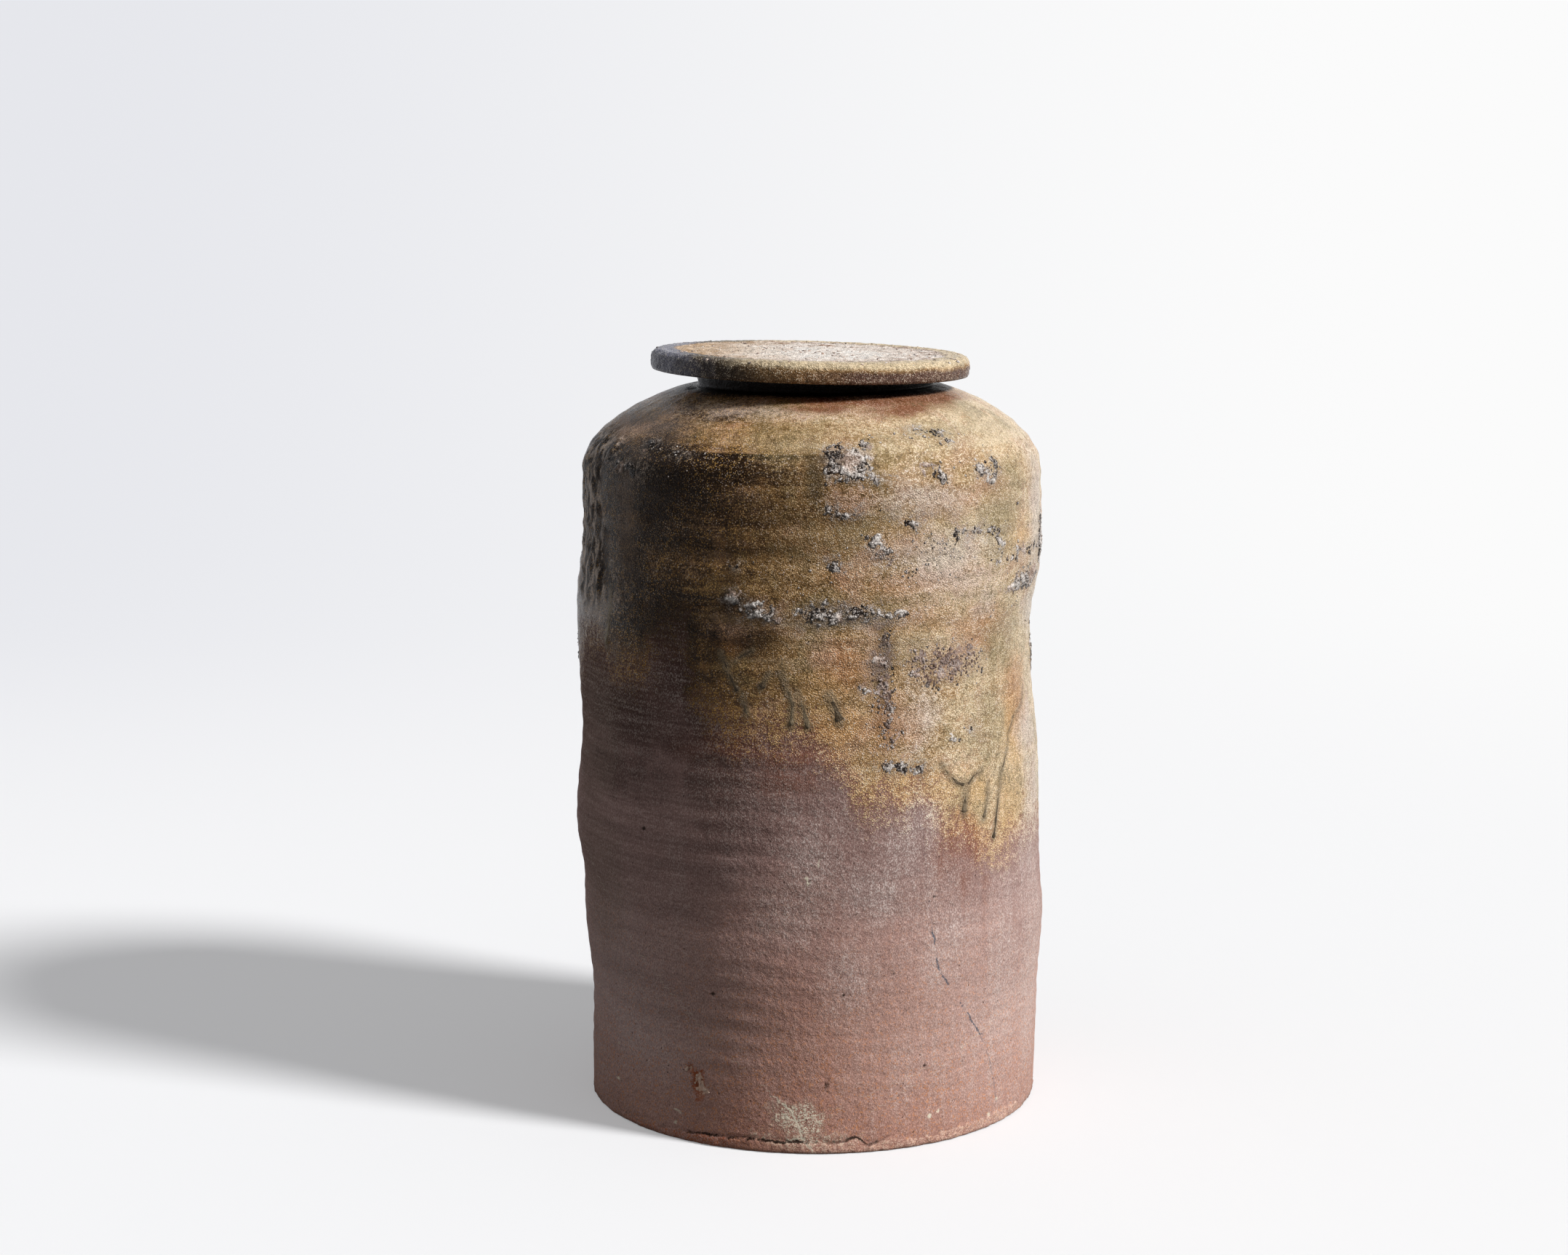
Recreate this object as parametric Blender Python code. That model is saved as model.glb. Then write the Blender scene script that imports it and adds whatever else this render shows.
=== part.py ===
"""Tall wood-fired stoneware jar with a loose disc lid.

Lengths are in metres and +Z is up. The jar stands on the plane z = 0 with its axis on Z.
The side that faces the viewer is -Y. The pot was thrown by hand, so its wall waves a little and
its rim and lid lean to the right.
"""

import math

import bmesh
import bpy
from mathutils import Vector

# Jar body, outside
BODY_RADIUS = 0.1225
WALL_HEIGHT = 0.340
SHOULDER_RISE = 0.0432
NECK_WALL = 0.009
NECK_HEIGHT = 0.0057
NECK_FLARE = 0.0012
RIM_EDGE = 0.0012
FOOT_ROUND = 0.0018

# Jar body, inside
WALL_THICKNESS = 0.0085
FLOOR_THICKNESS = 0.012
FLOOR_FILLET = 0.016
MOUTH_RADIUS = 0.053

# Lid
LID_RADIUS = 0.084
LID_THICKNESS = 0.0107
LID_UPPER_ROUND = 0.004
LID_LOWER_ROUND = 0.0015
LID_BAND_WIDTH = 0.013
LID_DISH_DEPTH = 0.0005
LID_OFF_CENTRE = -0.003
LID_LEAN = math.radians(1.5)

# Flange ring under the lid, which drops into the mouth
FLANGE_CLEARANCE = 0.004
FLANGE_WALL = 0.0065
FLANGE_DEPTH = 0.009
FLANGE_ROUND = 0.0012

# Running gap between the lid and the rim that it sits on
SEAT_GAP = 0.0003

# The shoulder is a superellipse: with both powers 2 it would be a round quarter
SHOULDER_RUN_POWER = 1.3
SHOULDER_RISE_POWER = 1.9

# Counts of facets and rings
SEGMENTS = 64
WALL_RINGS = 26
INNER_WALL_RINGS = 12
SHOULDER_RINGS = 9
ROUND_RINGS = 3

# How the thrown wall waves: height as a share of WALL_HEIGHT, then the radius as a share of
# BODY_RADIUS on the right, back, left and front of the jar
WAVE_SHARES = (
    (0.000, 0.976, 0.982, 0.990, 0.990),
    (0.088, 0.985, 0.980, 0.988, 0.986),
    (0.176, 0.989, 0.984, 0.986, 0.990),
    (0.294, 1.009, 1.003, 1.018, 1.008),
    (0.360, 0.994, 1.012, 1.020, 1.004),
    (0.447, 0.987, 1.002, 1.052, 1.010),
    (0.588, 0.970, 0.990, 1.021, 0.997),
    (0.670, 0.943, 0.985, 1.029, 0.990),
    (0.790, 0.938, 0.998, 1.039, 0.992),
    (0.826, 0.967, 1.003, 1.030, 0.995),
    (0.900, 0.980, 1.000, 1.008, 0.997),
    (1.000, 0.972, 0.992, 1.007, 0.990),
)

SHOULDER_TOP = WALL_HEIGHT + SHOULDER_RISE
NECK_RADIUS = MOUTH_RADIUS + NECK_WALL
RIM_HEIGHT = SHOULDER_TOP + NECK_HEIGHT
FLANGE_RADIUS = MOUTH_RADIUS - FLANGE_CLEARANCE


def clear_scene():
    """Remove every object that the scene starts with."""
    for thing in list(bpy.data.objects):
        bpy.data.objects.remove(thing, do_unlink=True)


def wave_at(share):
    """Radii of the four sides at a share of the wall's height, on one smooth curve."""
    rows = WAVE_SHARES
    last = len(rows) - 1
    upper = next((i for i in range(1, last) if share <= rows[i][0]), last)
    lower = upper - 1
    low_height, high_height = rows[lower][0], rows[upper][0]
    step = high_height - low_height
    t = (share - low_height) / step
    radii = []
    for side in range(1, 5):
        slopes = []
        for i in (lower, upper):
            before, after = rows[max(i - 1, 0)], rows[min(i + 1, last)]
            slopes.append((after[side] - before[side]) / (after[0] - before[0]))
        start, end = rows[lower][side], rows[upper][side]
        value = ((2 * t ** 3 - 3 * t ** 2 + 1) * start
                 + (t ** 3 - 2 * t ** 2 + t) * step * slopes[0]
                 + (3 * t ** 2 - 2 * t ** 3) * end
                 + (t ** 3 - t ** 2) * step * slopes[1])
        radii.append(BODY_RADIUS * value)
    return radii


def ring(radii, height, lean=0.0):
    """One closed ring of points; radii is one radius or the four sides' radii."""
    right, back, left, front = radii if isinstance(radii, (list, tuple)) else [radii] * 4
    points = []
    for i in range(SEGMENTS):
        angle = 2 * math.pi * i / SEGMENTS
        across, along = math.cos(angle), math.sin(angle)
        side_x = right if across > 0 else left
        side_y = back if along > 0 else front
        radius = side_x * across ** 2 + side_y * along ** 2
        x = radius * across
        points.append(Vector((x, radius * along, height - x * math.tan(lean))))
    return points


def inset(radii, distance):
    """The four sides' radii, drawn in by one distance."""
    return [radius - distance for radius in radii]


def shoulder_rings(radii, foot, rise, end_radius, rings):
    """Rings from the upright wall up and in to end_radius, without the first one."""
    made = []
    for i in range(1, rings + 1):
        angle = 0.5 * math.pi * i / rings
        run_share = math.cos(angle) ** (2 / SHOULDER_RUN_POWER)
        rise_share = math.sin(angle) ** (2 / SHOULDER_RISE_POWER)
        drawn_in = [end_radius + run_share * (radius - end_radius) for radius in radii]
        made.append(ring(drawn_in, foot + rise_share * rise))
    return made


def skin(name, rings):
    """One closed mesh through the rings, with a flat face on the first and the last."""
    bm = bmesh.new()
    loops = [[bm.verts.new(point) for point in points] for points in rings]
    for lower, upper in zip(loops, loops[1:]):
        for i in range(SEGMENTS):
            j = (i + 1) % SEGMENTS
            bm.faces.new((lower[i], lower[j], upper[j], upper[i]))
    bm.faces.new(reversed(loops[0]))
    bm.faces.new(loops[-1])
    bmesh.ops.recalc_face_normals(bm, faces=bm.faces)
    mesh = bpy.data.meshes.new(name)
    bm.to_mesh(mesh)
    bm.free()
    mesh.shade_smooth()
    mesh.set_sharp_from_angle(angle=math.radians(40))
    thing = bpy.data.objects.new(name, mesh)
    bpy.context.collection.objects.link(thing)
    return thing


def clay(thing, name, colour, roughness):
    """Give a piece its own fired-clay material."""
    material = bpy.data.materials.new(name)
    material.use_nodes = True
    shader = material.node_tree.nodes["Principled BSDF"]
    shader.inputs["Base Color"].default_value = (*colour, 1.0)
    shader.inputs["Roughness"].default_value = roughness
    shader.inputs["Metallic"].default_value = 0.0
    thing.data.materials.append(material)


def outer_rings():
    """The foot's round edge, the waving wall and the shoulder, from the bottom up."""
    rings = []
    for i in range(ROUND_RINGS):
        angle = 0.5 * math.pi * i / ROUND_RINGS
        height = FOOT_ROUND * (1 - math.cos(angle))
        radii = wave_at(height / WALL_HEIGHT)
        rings.append(ring(inset(radii, FOOT_ROUND * (1 - math.sin(angle))), height))
    for i in range(WALL_RINGS + 1):
        height = FOOT_ROUND + (WALL_HEIGHT - FOOT_ROUND) * i / WALL_RINGS
        rings.append(ring(wave_at(height / WALL_HEIGHT), height))
    rings += shoulder_rings(wave_at(1.0), WALL_HEIGHT, SHOULDER_RISE, NECK_RADIUS, SHOULDER_RINGS)
    return rings


def rim_rings():
    """The low neck, its leaning flat rim and the mouth, from the outside in."""
    top_radius = NECK_RADIUS + NECK_FLARE
    return [
        ring(top_radius, RIM_HEIGHT - RIM_EDGE, LID_LEAN),
        ring(top_radius - RIM_EDGE, RIM_HEIGHT, LID_LEAN),
        ring(MOUTH_RADIUS + RIM_EDGE, RIM_HEIGHT, LID_LEAN),
        ring(MOUTH_RADIUS, RIM_HEIGHT - RIM_EDGE, LID_LEAN),
    ]


def inner_rings():
    """The hollow, from the mouth down to the floor."""
    wall_foot = FLOOR_THICKNESS + FLOOR_FILLET
    inner_top = inset(wave_at(1.0), WALL_THICKNESS)
    inner_rise = SHOULDER_RISE - WALL_THICKNESS
    rings = shoulder_rings(inner_top, WALL_HEIGHT, inner_rise, MOUTH_RADIUS, SHOULDER_RINGS)
    rings.reverse()
    for i in range(INNER_WALL_RINGS + 1):
        height = WALL_HEIGHT + (wall_foot - WALL_HEIGHT) * i / INNER_WALL_RINGS
        rings.append(ring(inset(wave_at(height / WALL_HEIGHT), WALL_THICKNESS), height))
    floor_radii = inset(wave_at(wall_foot / WALL_HEIGHT), WALL_THICKNESS)
    for i in range(1, ROUND_RINGS + 1):
        angle = 0.5 * math.pi * i / ROUND_RINGS
        height = wall_foot - FLOOR_FILLET * math.sin(angle)
        rings.append(ring(inset(floor_radii, FLOOR_FILLET * (1 - math.cos(angle))), height))
    return rings


def make_jar_body():
    """Foot, wall, shoulder, neck and hollow in one thrown piece."""
    body = skin("jar_body", outer_rings() + rim_rings() + inner_rings())
    clay(body, "fired_brown_clay", (0.16, 0.085, 0.055), 0.7)
    return body


def rounded_edge(radius, height, size, turn_from, turn_to):
    """Rings round one edge of the lid, between two directions of its corner."""
    made = []
    for i in range(ROUND_RINGS + 1):
        angle = turn_from + (turn_to - turn_from) * i / ROUND_RINGS
        made.append(ring(radius + size * math.cos(angle), height + size * math.sin(angle)))
    return made


def lid_rings():
    """The lid round its own axis, from the middle of its top to inside its flange ring."""
    up, out, down = 0.5 * math.pi, 0.0, -0.5 * math.pi
    band_radius = LID_RADIUS - LID_BAND_WIDTH
    rings = [ring(band_radius - LID_BAND_WIDTH, LID_THICKNESS - LID_DISH_DEPTH)]
    rings.append(ring(band_radius, LID_THICKNESS))
    rings += rounded_edge(LID_RADIUS - LID_UPPER_ROUND, LID_THICKNESS - LID_UPPER_ROUND,
                          LID_UPPER_ROUND, up, out)
    rings += rounded_edge(LID_RADIUS - LID_LOWER_ROUND, LID_LOWER_ROUND,
                          LID_LOWER_ROUND, out, down)
    rings.append(ring(FLANGE_RADIUS, 0.0))
    rings += rounded_edge(FLANGE_RADIUS - FLANGE_ROUND, FLANGE_ROUND - FLANGE_DEPTH,
                          FLANGE_ROUND, out, down)
    rings.append(ring(FLANGE_RADIUS - FLANGE_WALL, -FLANGE_DEPTH))
    rings.append(ring(FLANGE_RADIUS - FLANGE_WALL, 0.0))
    return rings


def make_lid():
    """The loose lid, leaning with the rim, under an empty on the line along which it lifts."""
    lift = bpy.data.objects.new("lid_lift_line", None)
    lift.location = (0.0, 0.0, RIM_HEIGHT)
    bpy.context.collection.objects.link(lift)
    lid = skin("lid", lid_rings())
    clay(lid, "fired_grey_clay", (0.22, 0.17, 0.13), 0.6)
    lid.parent = lift
    lid.location = (LID_OFF_CENTRE, 0.0, SEAT_GAP - LID_OFF_CENTRE * math.tan(LID_LEAN))
    lid.rotation_euler = (0.0, LID_LEAN, 0.0)
    return lid


def main():
    clear_scene()
    make_jar_body()
    make_lid()
    bpy.context.view_layer.update()


main()
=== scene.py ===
import functools
import math
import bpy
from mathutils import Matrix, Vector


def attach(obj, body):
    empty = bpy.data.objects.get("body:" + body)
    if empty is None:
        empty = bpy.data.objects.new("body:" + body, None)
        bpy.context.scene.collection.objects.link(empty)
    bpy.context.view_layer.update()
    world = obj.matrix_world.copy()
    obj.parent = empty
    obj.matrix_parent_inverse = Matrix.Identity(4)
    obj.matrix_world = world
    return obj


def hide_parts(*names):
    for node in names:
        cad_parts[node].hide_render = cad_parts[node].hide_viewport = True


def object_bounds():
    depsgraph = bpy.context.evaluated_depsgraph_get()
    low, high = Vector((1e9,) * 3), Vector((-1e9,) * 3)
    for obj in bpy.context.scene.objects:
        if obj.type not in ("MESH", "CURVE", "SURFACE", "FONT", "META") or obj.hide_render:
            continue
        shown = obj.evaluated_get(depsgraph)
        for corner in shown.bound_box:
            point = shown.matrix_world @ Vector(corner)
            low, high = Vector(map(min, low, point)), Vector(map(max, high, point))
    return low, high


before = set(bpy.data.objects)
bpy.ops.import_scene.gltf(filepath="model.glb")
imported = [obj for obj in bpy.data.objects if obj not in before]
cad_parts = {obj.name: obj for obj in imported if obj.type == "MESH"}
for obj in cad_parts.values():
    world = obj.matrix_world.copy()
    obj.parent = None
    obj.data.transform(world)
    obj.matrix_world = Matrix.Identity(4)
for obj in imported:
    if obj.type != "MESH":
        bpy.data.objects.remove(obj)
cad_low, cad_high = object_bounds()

from types import SimpleNamespace

import bmesh
import bpy
import numpy as np
from bpy.props import FloatProperty, FloatVectorProperty, PointerProperty
from mathutils import Euler, Matrix, Vector, noise
from mathutils.bvhtree import BVHTree

bl_info = {
    "name": "Wood-fired stoneware jar",
    "version": (1, 0, 0),
    "blender": (4, 5, 0),
    "location": "3D View > Sidebar > Stoneware jar",
    "description": "Dresses a thrown jar and its disc lid in ash glaze, crusts, runs and bare clay",
    "category": "Add Mesh",
}

MM = 0.001
FULL_TURN = 2 * math.pi

# The photograph's frame and the camera that saw it
PHOTO_WIDTH, PHOTO_HEIGHT = 2156, 1725
SENSOR_WIDTH = 36.0
LENS = 66.237
CAMERA_PLACE = Vector((0.0, -1.5278, 0.5079))
CAMERA_ANGLES = (0.5 * math.pi - math.radians(9.508), 0, math.radians(0.6285))
PIXELS_PER_UNIT = LENS / SENSOR_WIDTH * PHOTO_WIDTH
# The jar's middle in the photograph, and a pixel's size on the jar
MIDDLE_PIXEL = 1112.0
PIXEL_SIZE = 0.4 * MM

# The CAD solids are turned: their facets round, and the rings where the jar's forms start
FACETS = 64
RING_AT_SHOULDER, RING_AT_TOP, RING_AT_RIM = 30, 37, 42
LEAST_RING_STEP = 2 * MM
LID_LEAN = math.radians(1.5)

# The fine mesh of the wall: columns round it, and the row spacing in mm at heights up its profile
COLUMNS = 416
INNER_COLUMNS = 104
BASE_COLUMNS = 104
WALL_SPACING = (
    (0, 0.9), (14, 1.0), (24, 2.8), (140, 2.8), (170, 2.1), (340, 2.0), (346, 1.0), (366, 1.0),
    (372, 2.0), (416, 2.0), (424, 1.1), (450, 1.3), (470, 7.0), (2000, 7.0),
)

# A patch's mark is its distance inside the patch's edge, within these limits
FAR_INSIDE, FAR_OUTSIDE = 12 * MM, -12 * MM

# Distances round the wall are measured at this radius
MAP_RADIUS = 0.5 * (cad_high[0] - cad_low[0]) - 3.5 * MM

# Both sides bear the near side's marks: how far they are turned, and how far they are moved up
SIDES = ((0.0, 0.0), (math.radians(187), -6 * MM))
NEAR_SIDE = SIDES[:1]


def linear(hex_colour):
    """One sRGB hex colour as linear red, green and blue."""
    values = [int(hex_colour[i:i + 2], 16) / 255 for i in (1, 3, 5)]
    return tuple(v / 12.92 if v <= 0.04045 else ((v + 0.055) / 1.055) ** 2.4 for v in values)


def plug(tree, socket, value):
    """Link a shader socket to a node's output, or give it a plain value."""
    if isinstance(value, bpy.types.NodeSocket):
        tree.links.new(value, socket)
    elif socket.type == "RGBA":
        socket.default_value = (*value, 1.0)
    else:
        socket.default_value = value


def add(tree, kind, *values, named=None, out=None, **settings):
    """Add one shader node with its settings, and give the output that it is read from.

    Values go to the node's working sockets in their order, and named ones to sockets by name. A
    MapRange has its value, the two ends of its range, then the two numbers that these become.
    """
    made = tree.nodes.new("ShaderNode" + kind)
    for name, value in settings.items():
        setattr(made, name, value)
    for socket, value in zip([end for end in made.inputs if end.enabled], values):
        plug(tree, socket, value)
    for name, value in (named or {}).items():
        plug(tree, made.inputs[name], value)
    return made.outputs[out] if out else next(end for end in made.outputs if end.enabled)


# Places on the jar

@functools.cache
def jar_solid():
    return BVHTree.FromObject(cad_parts["jar_body"], bpy.context.evaluated_depsgraph_get())


def seen_at(x, y):
    """The point of the CAD jar behind a pixel of the photograph, drawn in where the pixel misses it."""
    axes = Euler(CAMERA_ANGLES).to_matrix()
    for share in np.linspace(1.0, 0.0, 160):
        across = MIDDLE_PIXEL + (x - MIDDLE_PIXEL) * share
        ray = Vector(((across - PHOTO_WIDTH / 2) / PIXELS_PER_UNIT,
                      (PHOTO_HEIGHT / 2 - y) / PIXELS_PER_UNIT, -1.0))
        hit = jar_solid().ray_cast(CAMERA_PLACE, (axes @ ray).normalized())[0]
        if hit is not None:
            return hit
    raise RuntimeError(f"pixel {x}, {y} misses the jar")


def put_back(column, whole):
    """A facet edge with the points put back that its solid left out where it runs straight."""
    while len(column) < len(whole):
        gaps = np.abs(column[:, 2] - whole[:len(column), 2])
        place = int(np.argmax(gaps > LEAST_RING_STEP))
        column = np.insert(column, place, 0.5 * (column[place - 1] + column[place]), axis=0)
    return column


def turned_rings(node, lean=0.0):
    """The rings that a turned CAD solid is made of, as [ring, facet, xyz], and its axis point."""
    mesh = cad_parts[node].data
    places = np.empty(3 * len(mesh.vertices), np.float32)
    mesh.vertices.foreach_get("co", places)
    ends = np.empty(2 * len(mesh.edges), np.int32)
    mesh.edges.foreach_get("vertices", ends)
    corners, index = np.unique(places.reshape(-1, 3).astype(float).round(6), axis=0,
                               return_inverse=True)
    centre = corners.mean(0) * (1.0 if lean else 0.0)
    corners = (corners - centre) @ np.array(Matrix.Rotation(-lean, 3, "Y")).T
    facet = np.rint(np.arctan2(corners[:, 1], corners[:, 0]) / FULL_TURN * FACETS).astype(int) % FACETS
    links = {}
    for a, b in index.ravel()[ends.reshape(-1, 2)]:
        if a != b and facet[a] == facet[b]:
            links.setdefault(a, set()).add(b)
            links.setdefault(b, set()).add(a)
    columns = []
    for k in range(FACETS):
        loose_ends = [i for i, near in links.items() if facet[i] == k and len(near) == 1]
        walk = [min(loose_ends, key=lambda i: corners[i, 2])]
        while onward := [i for i in links[walk[-1]] if i not in walk[-2:]]:
            walk.append(onward[0])
        columns.append(corners[walk])
    whole = max(columns, key=len)
    return np.array([put_back(column, whole) for column in columns]).transpose(1, 0, 2), centre


def along(knots, values, places):
    """A smooth curve through values at knots, read at places."""
    slopes = np.empty_like(values)
    slopes[1:-1] = (values[2:] - values[:-2]) / (knots[2:] - knots[:-2])[:, None, None]
    slopes[0] = (values[1] - values[0]) / (knots[1] - knots[0])
    slopes[-1] = (values[-1] - values[-2]) / (knots[-1] - knots[-2])
    i = np.clip(np.searchsorted(knots, places, "right") - 1, 0, len(knots) - 2)
    step = (knots[i + 1] - knots[i])[:, None, None]
    t = ((places - knots[i]) / (knots[i + 1] - knots[i]))[:, None, None]
    return ((2 * t ** 3 - 3 * t ** 2 + 1) * values[i] + (t ** 3 - 2 * t ** 2 + t) * step * slopes[i]
            + (3 * t ** 2 - 2 * t ** 3) * values[i + 1] + (t ** 3 - t ** 2) * step * slopes[i + 1])


def fine_rings(rings, spacing, columns):
    """Rings with more points round them and more rings between: points, their places, the old places.

    A ring's place is its distance along the profile; spacing has pairs of a place and a step in mm.
    """
    steps = np.linalg.norm(np.diff(rings, axis=0), axis=2).mean(1)
    knots = np.concatenate([[0.0], np.cumsum(steps)])
    at, wide = np.array(spacing).T * MM
    places = [0.0]
    while places[-1] < knots[-1]:
        places.append(places[-1] + float(np.interp(places[-1], at, wide)))
    places = np.array(places) * (knots[-1] / places[-1])
    waves = np.fft.rfft(along(knots, rings, places), axis=1)
    return np.fft.irfft(waves, columns, axis=1) * (columns / FACETS), places, knots


def outward(points):
    """The direction that each point of a grid of rings faces."""
    round_it = np.roll(points, -1, axis=1) - np.roll(points, 1, axis=1)
    facing = np.cross(round_it, np.gradient(points, axis=0))
    return facing / np.maximum(np.linalg.norm(facing, axis=2, keepdims=True), 1e-12)


def lumps(points, size, octaves=3, shift=0.0):
    """Smooth noise of about -1 to 1, with lumps of one size."""
    flat = (points.reshape(-1, 3) / size + shift).tolist()
    values = [noise.fractal(place, 1.0, 2.0, octaves) for place in flat]
    return np.array(values).reshape(points.shape[:-1])


def soft_step(values, low, high):
    share = np.clip((values - low) / (high - low), 0, 1)
    return share * share * (3 - 2 * share)


# What the photograph shows on the wall, in its own pixels

# Where the ash glaze ends below: x, y on the near side, then angle in degrees and height beyond it
GLAZE_LIMIT = (
    (806, 880), (834, 892), (842, 930), (880, 932), (896, 886), (936, 876), (950, 950), (968, 1000),
    (1040, 1008), (1110, 1010), (1145, 1058), (1190, 1096), (1250, 1100), (1290, 1120), (1340, 1150),
    (1372, 1168), (1400, 1150), (1424, 1130),
)
FAR_GLAZE_LIMIT = ((28, 0.178), (52, 0.196), (78, 0.168), (104, 0.205), (128, 0.198), (148, 0.166),
                   (164, 0.182))

# Patches: x, y, half width, half height
CRUST_PATCHES = (
    (1160, 626, 16, 15), (1174, 646, 18, 19), (1188, 615, 9, 8), (1150, 652, 8, 11), (1199, 661, 8, 4),
    (1260, 591, 9, 4), (1293, 602, 7, 8), (1276, 640, 6, 5), (1295, 653, 9, 9),
    (1350, 642, 9, 10), (1366, 648, 9, 9), (1362, 630, 5, 6), (1143, 703, 8, 4), (1158, 710, 8, 4),
    (1200, 746, 9, 9), (1212, 762, 10, 10), (1218, 776, 5, 5), (1148, 776, 10, 6),
    (1254, 722, 8, 7), (1315, 736, 4, 6), (1343, 729, 7, 3), (1362, 732, 8, 3), (1374, 745, 4, 7),
    (1392, 766, 9, 3), (1410, 754, 9, 4), (1429, 735, 3, 28), (1412, 794, 12, 15), (1417, 893, 5, 28),
    (1014, 824, 12, 9), (1040, 838, 14, 8), (1058, 850, 7, 5),
    (1120, 842, 16, 8), (1145, 850, 14, 8), (1172, 845, 14, 8), (1200, 840, 16, 7),
    (1232, 848, 14, 6), (1218, 880, 6, 8), (1208, 906, 9, 8), (1222, 918, 7, 7),
    (1221, 945, 5, 8), (1224, 975, 4, 8), (1186, 948, 4, 4),
    (1228, 1052, 10, 5), (1246, 1057, 8, 4), (1264, 1060, 5, 4),
    (1311, 1015, 3, 3), (1335, 1001, 3, 3), (897, 612, 7, 6), (936, 622, 8, 3),
    (859, 640, 14, 7), (844, 632, 8, 5), (878, 648, 8, 6), (1012, 779, 5, 5),
)
FIELD_PATCHES = ((1290, 758, 62, 34), (1248, 790, 24, 18), (1262, 596, 60, 10), (1216, 1000, 20, 40))
GRIT_PATCHES = (
    (1275, 770, 80, 50), (1330, 640, 60, 50), (1215, 960, 30, 60), (1150, 850, 70, 20),
    (1180, 750, 60, 50), (1300, 900, 70, 50), (1200, 610, 80, 40), (1100, 800, 80, 70),
    (1400, 800, 30, 120), (900, 630, 60, 40), (1240, 990, 40, 60),
)
DARK_PATCHES = (
    (918, 662, 34, 28), (895, 700, 14, 26), (868, 775, 12, 30), (915, 860, 40, 44),
    (1121, 668, 10, 30), (1150, 706, 16, 9), (985, 700, 60, 4),
    (1040, 716, 70, 4), (1000, 752, 60, 4), (960, 655, 60, 6), (1008, 830, 14, 18),
    (983, 880, 9, 26), (1150, 848, 40, 8), (1218, 900, 11, 40), (1266, 1062, 5, 6),
    (880, 990, 70, 40), (930, 930, 30, 40), (850, 1060, 50, 30), (1030, 880, 34, 20),
    (900, 610, 20, 12), (862, 640, 20, 12), (826, 760, 8, 30), (822, 640, 8, 24), (818, 700, 8, 20),
)
OLIVE_PATCHES = (
    (1376, 705, 26, 45), (1300, 598, 70, 9), (1121, 668, 12, 34), (1376, 880, 20, 40),
    (1360, 1000, 24, 44), (1180, 725, 36, 16), (1090, 610, 60, 24), (1392, 660, 14, 30),
)
RUST_PATCHES = (
    (1170, 690, 22, 10),
    (1150, 797, 14, 12), (1247, 741, 12, 8), (1298, 668, 10, 8), (1362, 672, 16, 12),
    (1280, 800, 50, 12), (1350, 860, 30, 30), (1265, 850, 36, 14), (1160, 920, 40, 34),
    (1010, 880, 22, 18), (1220, 990, 24, 40), (1155, 1005, 40, 24), (1080, 1074, 36, 14),
    (1325, 1150, 32, 40), (1327, 1215, 9, 22), (1354, 1210, 7, 18), (1300, 1180, 14, 30),
    (1395, 960, 14, 60), (1000, 1030, 60, 14), (1090, 1040, 60, 16),
)
GOLD_PATCHES = (
    (1147, 1000, 36, 34), (1262, 1085, 52, 16), (1090, 995, 40, 14), (1010, 985, 50, 8),
    (1405, 730, 14, 20), (1345, 1085, 14, 20), (1392, 1010, 14, 60), (1386, 1110, 16, 40),
    (1380, 1180, 20, 14), (1130, 955, 30, 30),
)
BARE_PATCHES = (
    (1165, 688, 22, 11), (1130, 898, 15, 22), (1150, 795, 11, 10), (1245, 990, 24, 34),
    (1270, 800, 50, 20), (1330, 790, 36, 16), (1008, 860, 22, 12), (860, 590, 24, 14),
    (1360, 668, 14, 8), (1330, 700, 30, 9), (1200, 890, 14, 40), (1172, 640, 12, 14),
    (1240, 750, 44, 20), (1300, 700, 50, 16), (1310, 812, 44, 16),
)
# Pale bloom of ash; the patch at 818, 828 on the left outline is a painted sheen
PALE_PATCHES = (
    (1022, 565, 72, 6), (1262, 686, 50, 14), (1270, 988, 12, 34),
    (1352, 832, 7, 18), (1262, 1130, 18, 24), (1290, 1218, 6, 18), (1245, 1160, 16, 30),
    (818, 828, 18, 40), (1414, 1180, 10, 80), (1413, 1330, 8, 60), (1412, 1000, 9, 30),
    (1320, 800, 30, 12), (1416, 830, 10, 22), (1110, 1210, 30, 60),
    (1380, 1330, 12, 90), (1170, 632, 18, 14), (1170, 850, 40, 6), (1200, 1230, 40, 30),
    (1300, 1300, 24, 40), (1080, 1260, 30, 30), (1165, 1350, 26, 40), (1300, 764, 60, 26),
    (1300, 780, 40, 24), (1424, 1260, 8, 240), (1424, 700, 6, 90),
)
# Smooth ash along the left outline, partly a painted sheen
VEIL_AND_SHEEN_PATCHES = ((886, 585, 50, 20), (862, 700, 16, 90), (818, 1010, 26, 110), (826, 1200, 26, 90))
RED_PATCHES = ((1180, 549, 90, 9), (1270, 547, 86, 11), (1130, 562, 40, 6), (1250, 562, 60, 8))
GLOSS_PATCHES = ((1258, 637, 80, 26), (1262, 632, 60, 20))
STRIP_PATCHES = ((808, 690, 32, 95), (824, 612, 22, 32), (812, 780, 24, 50))
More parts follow.
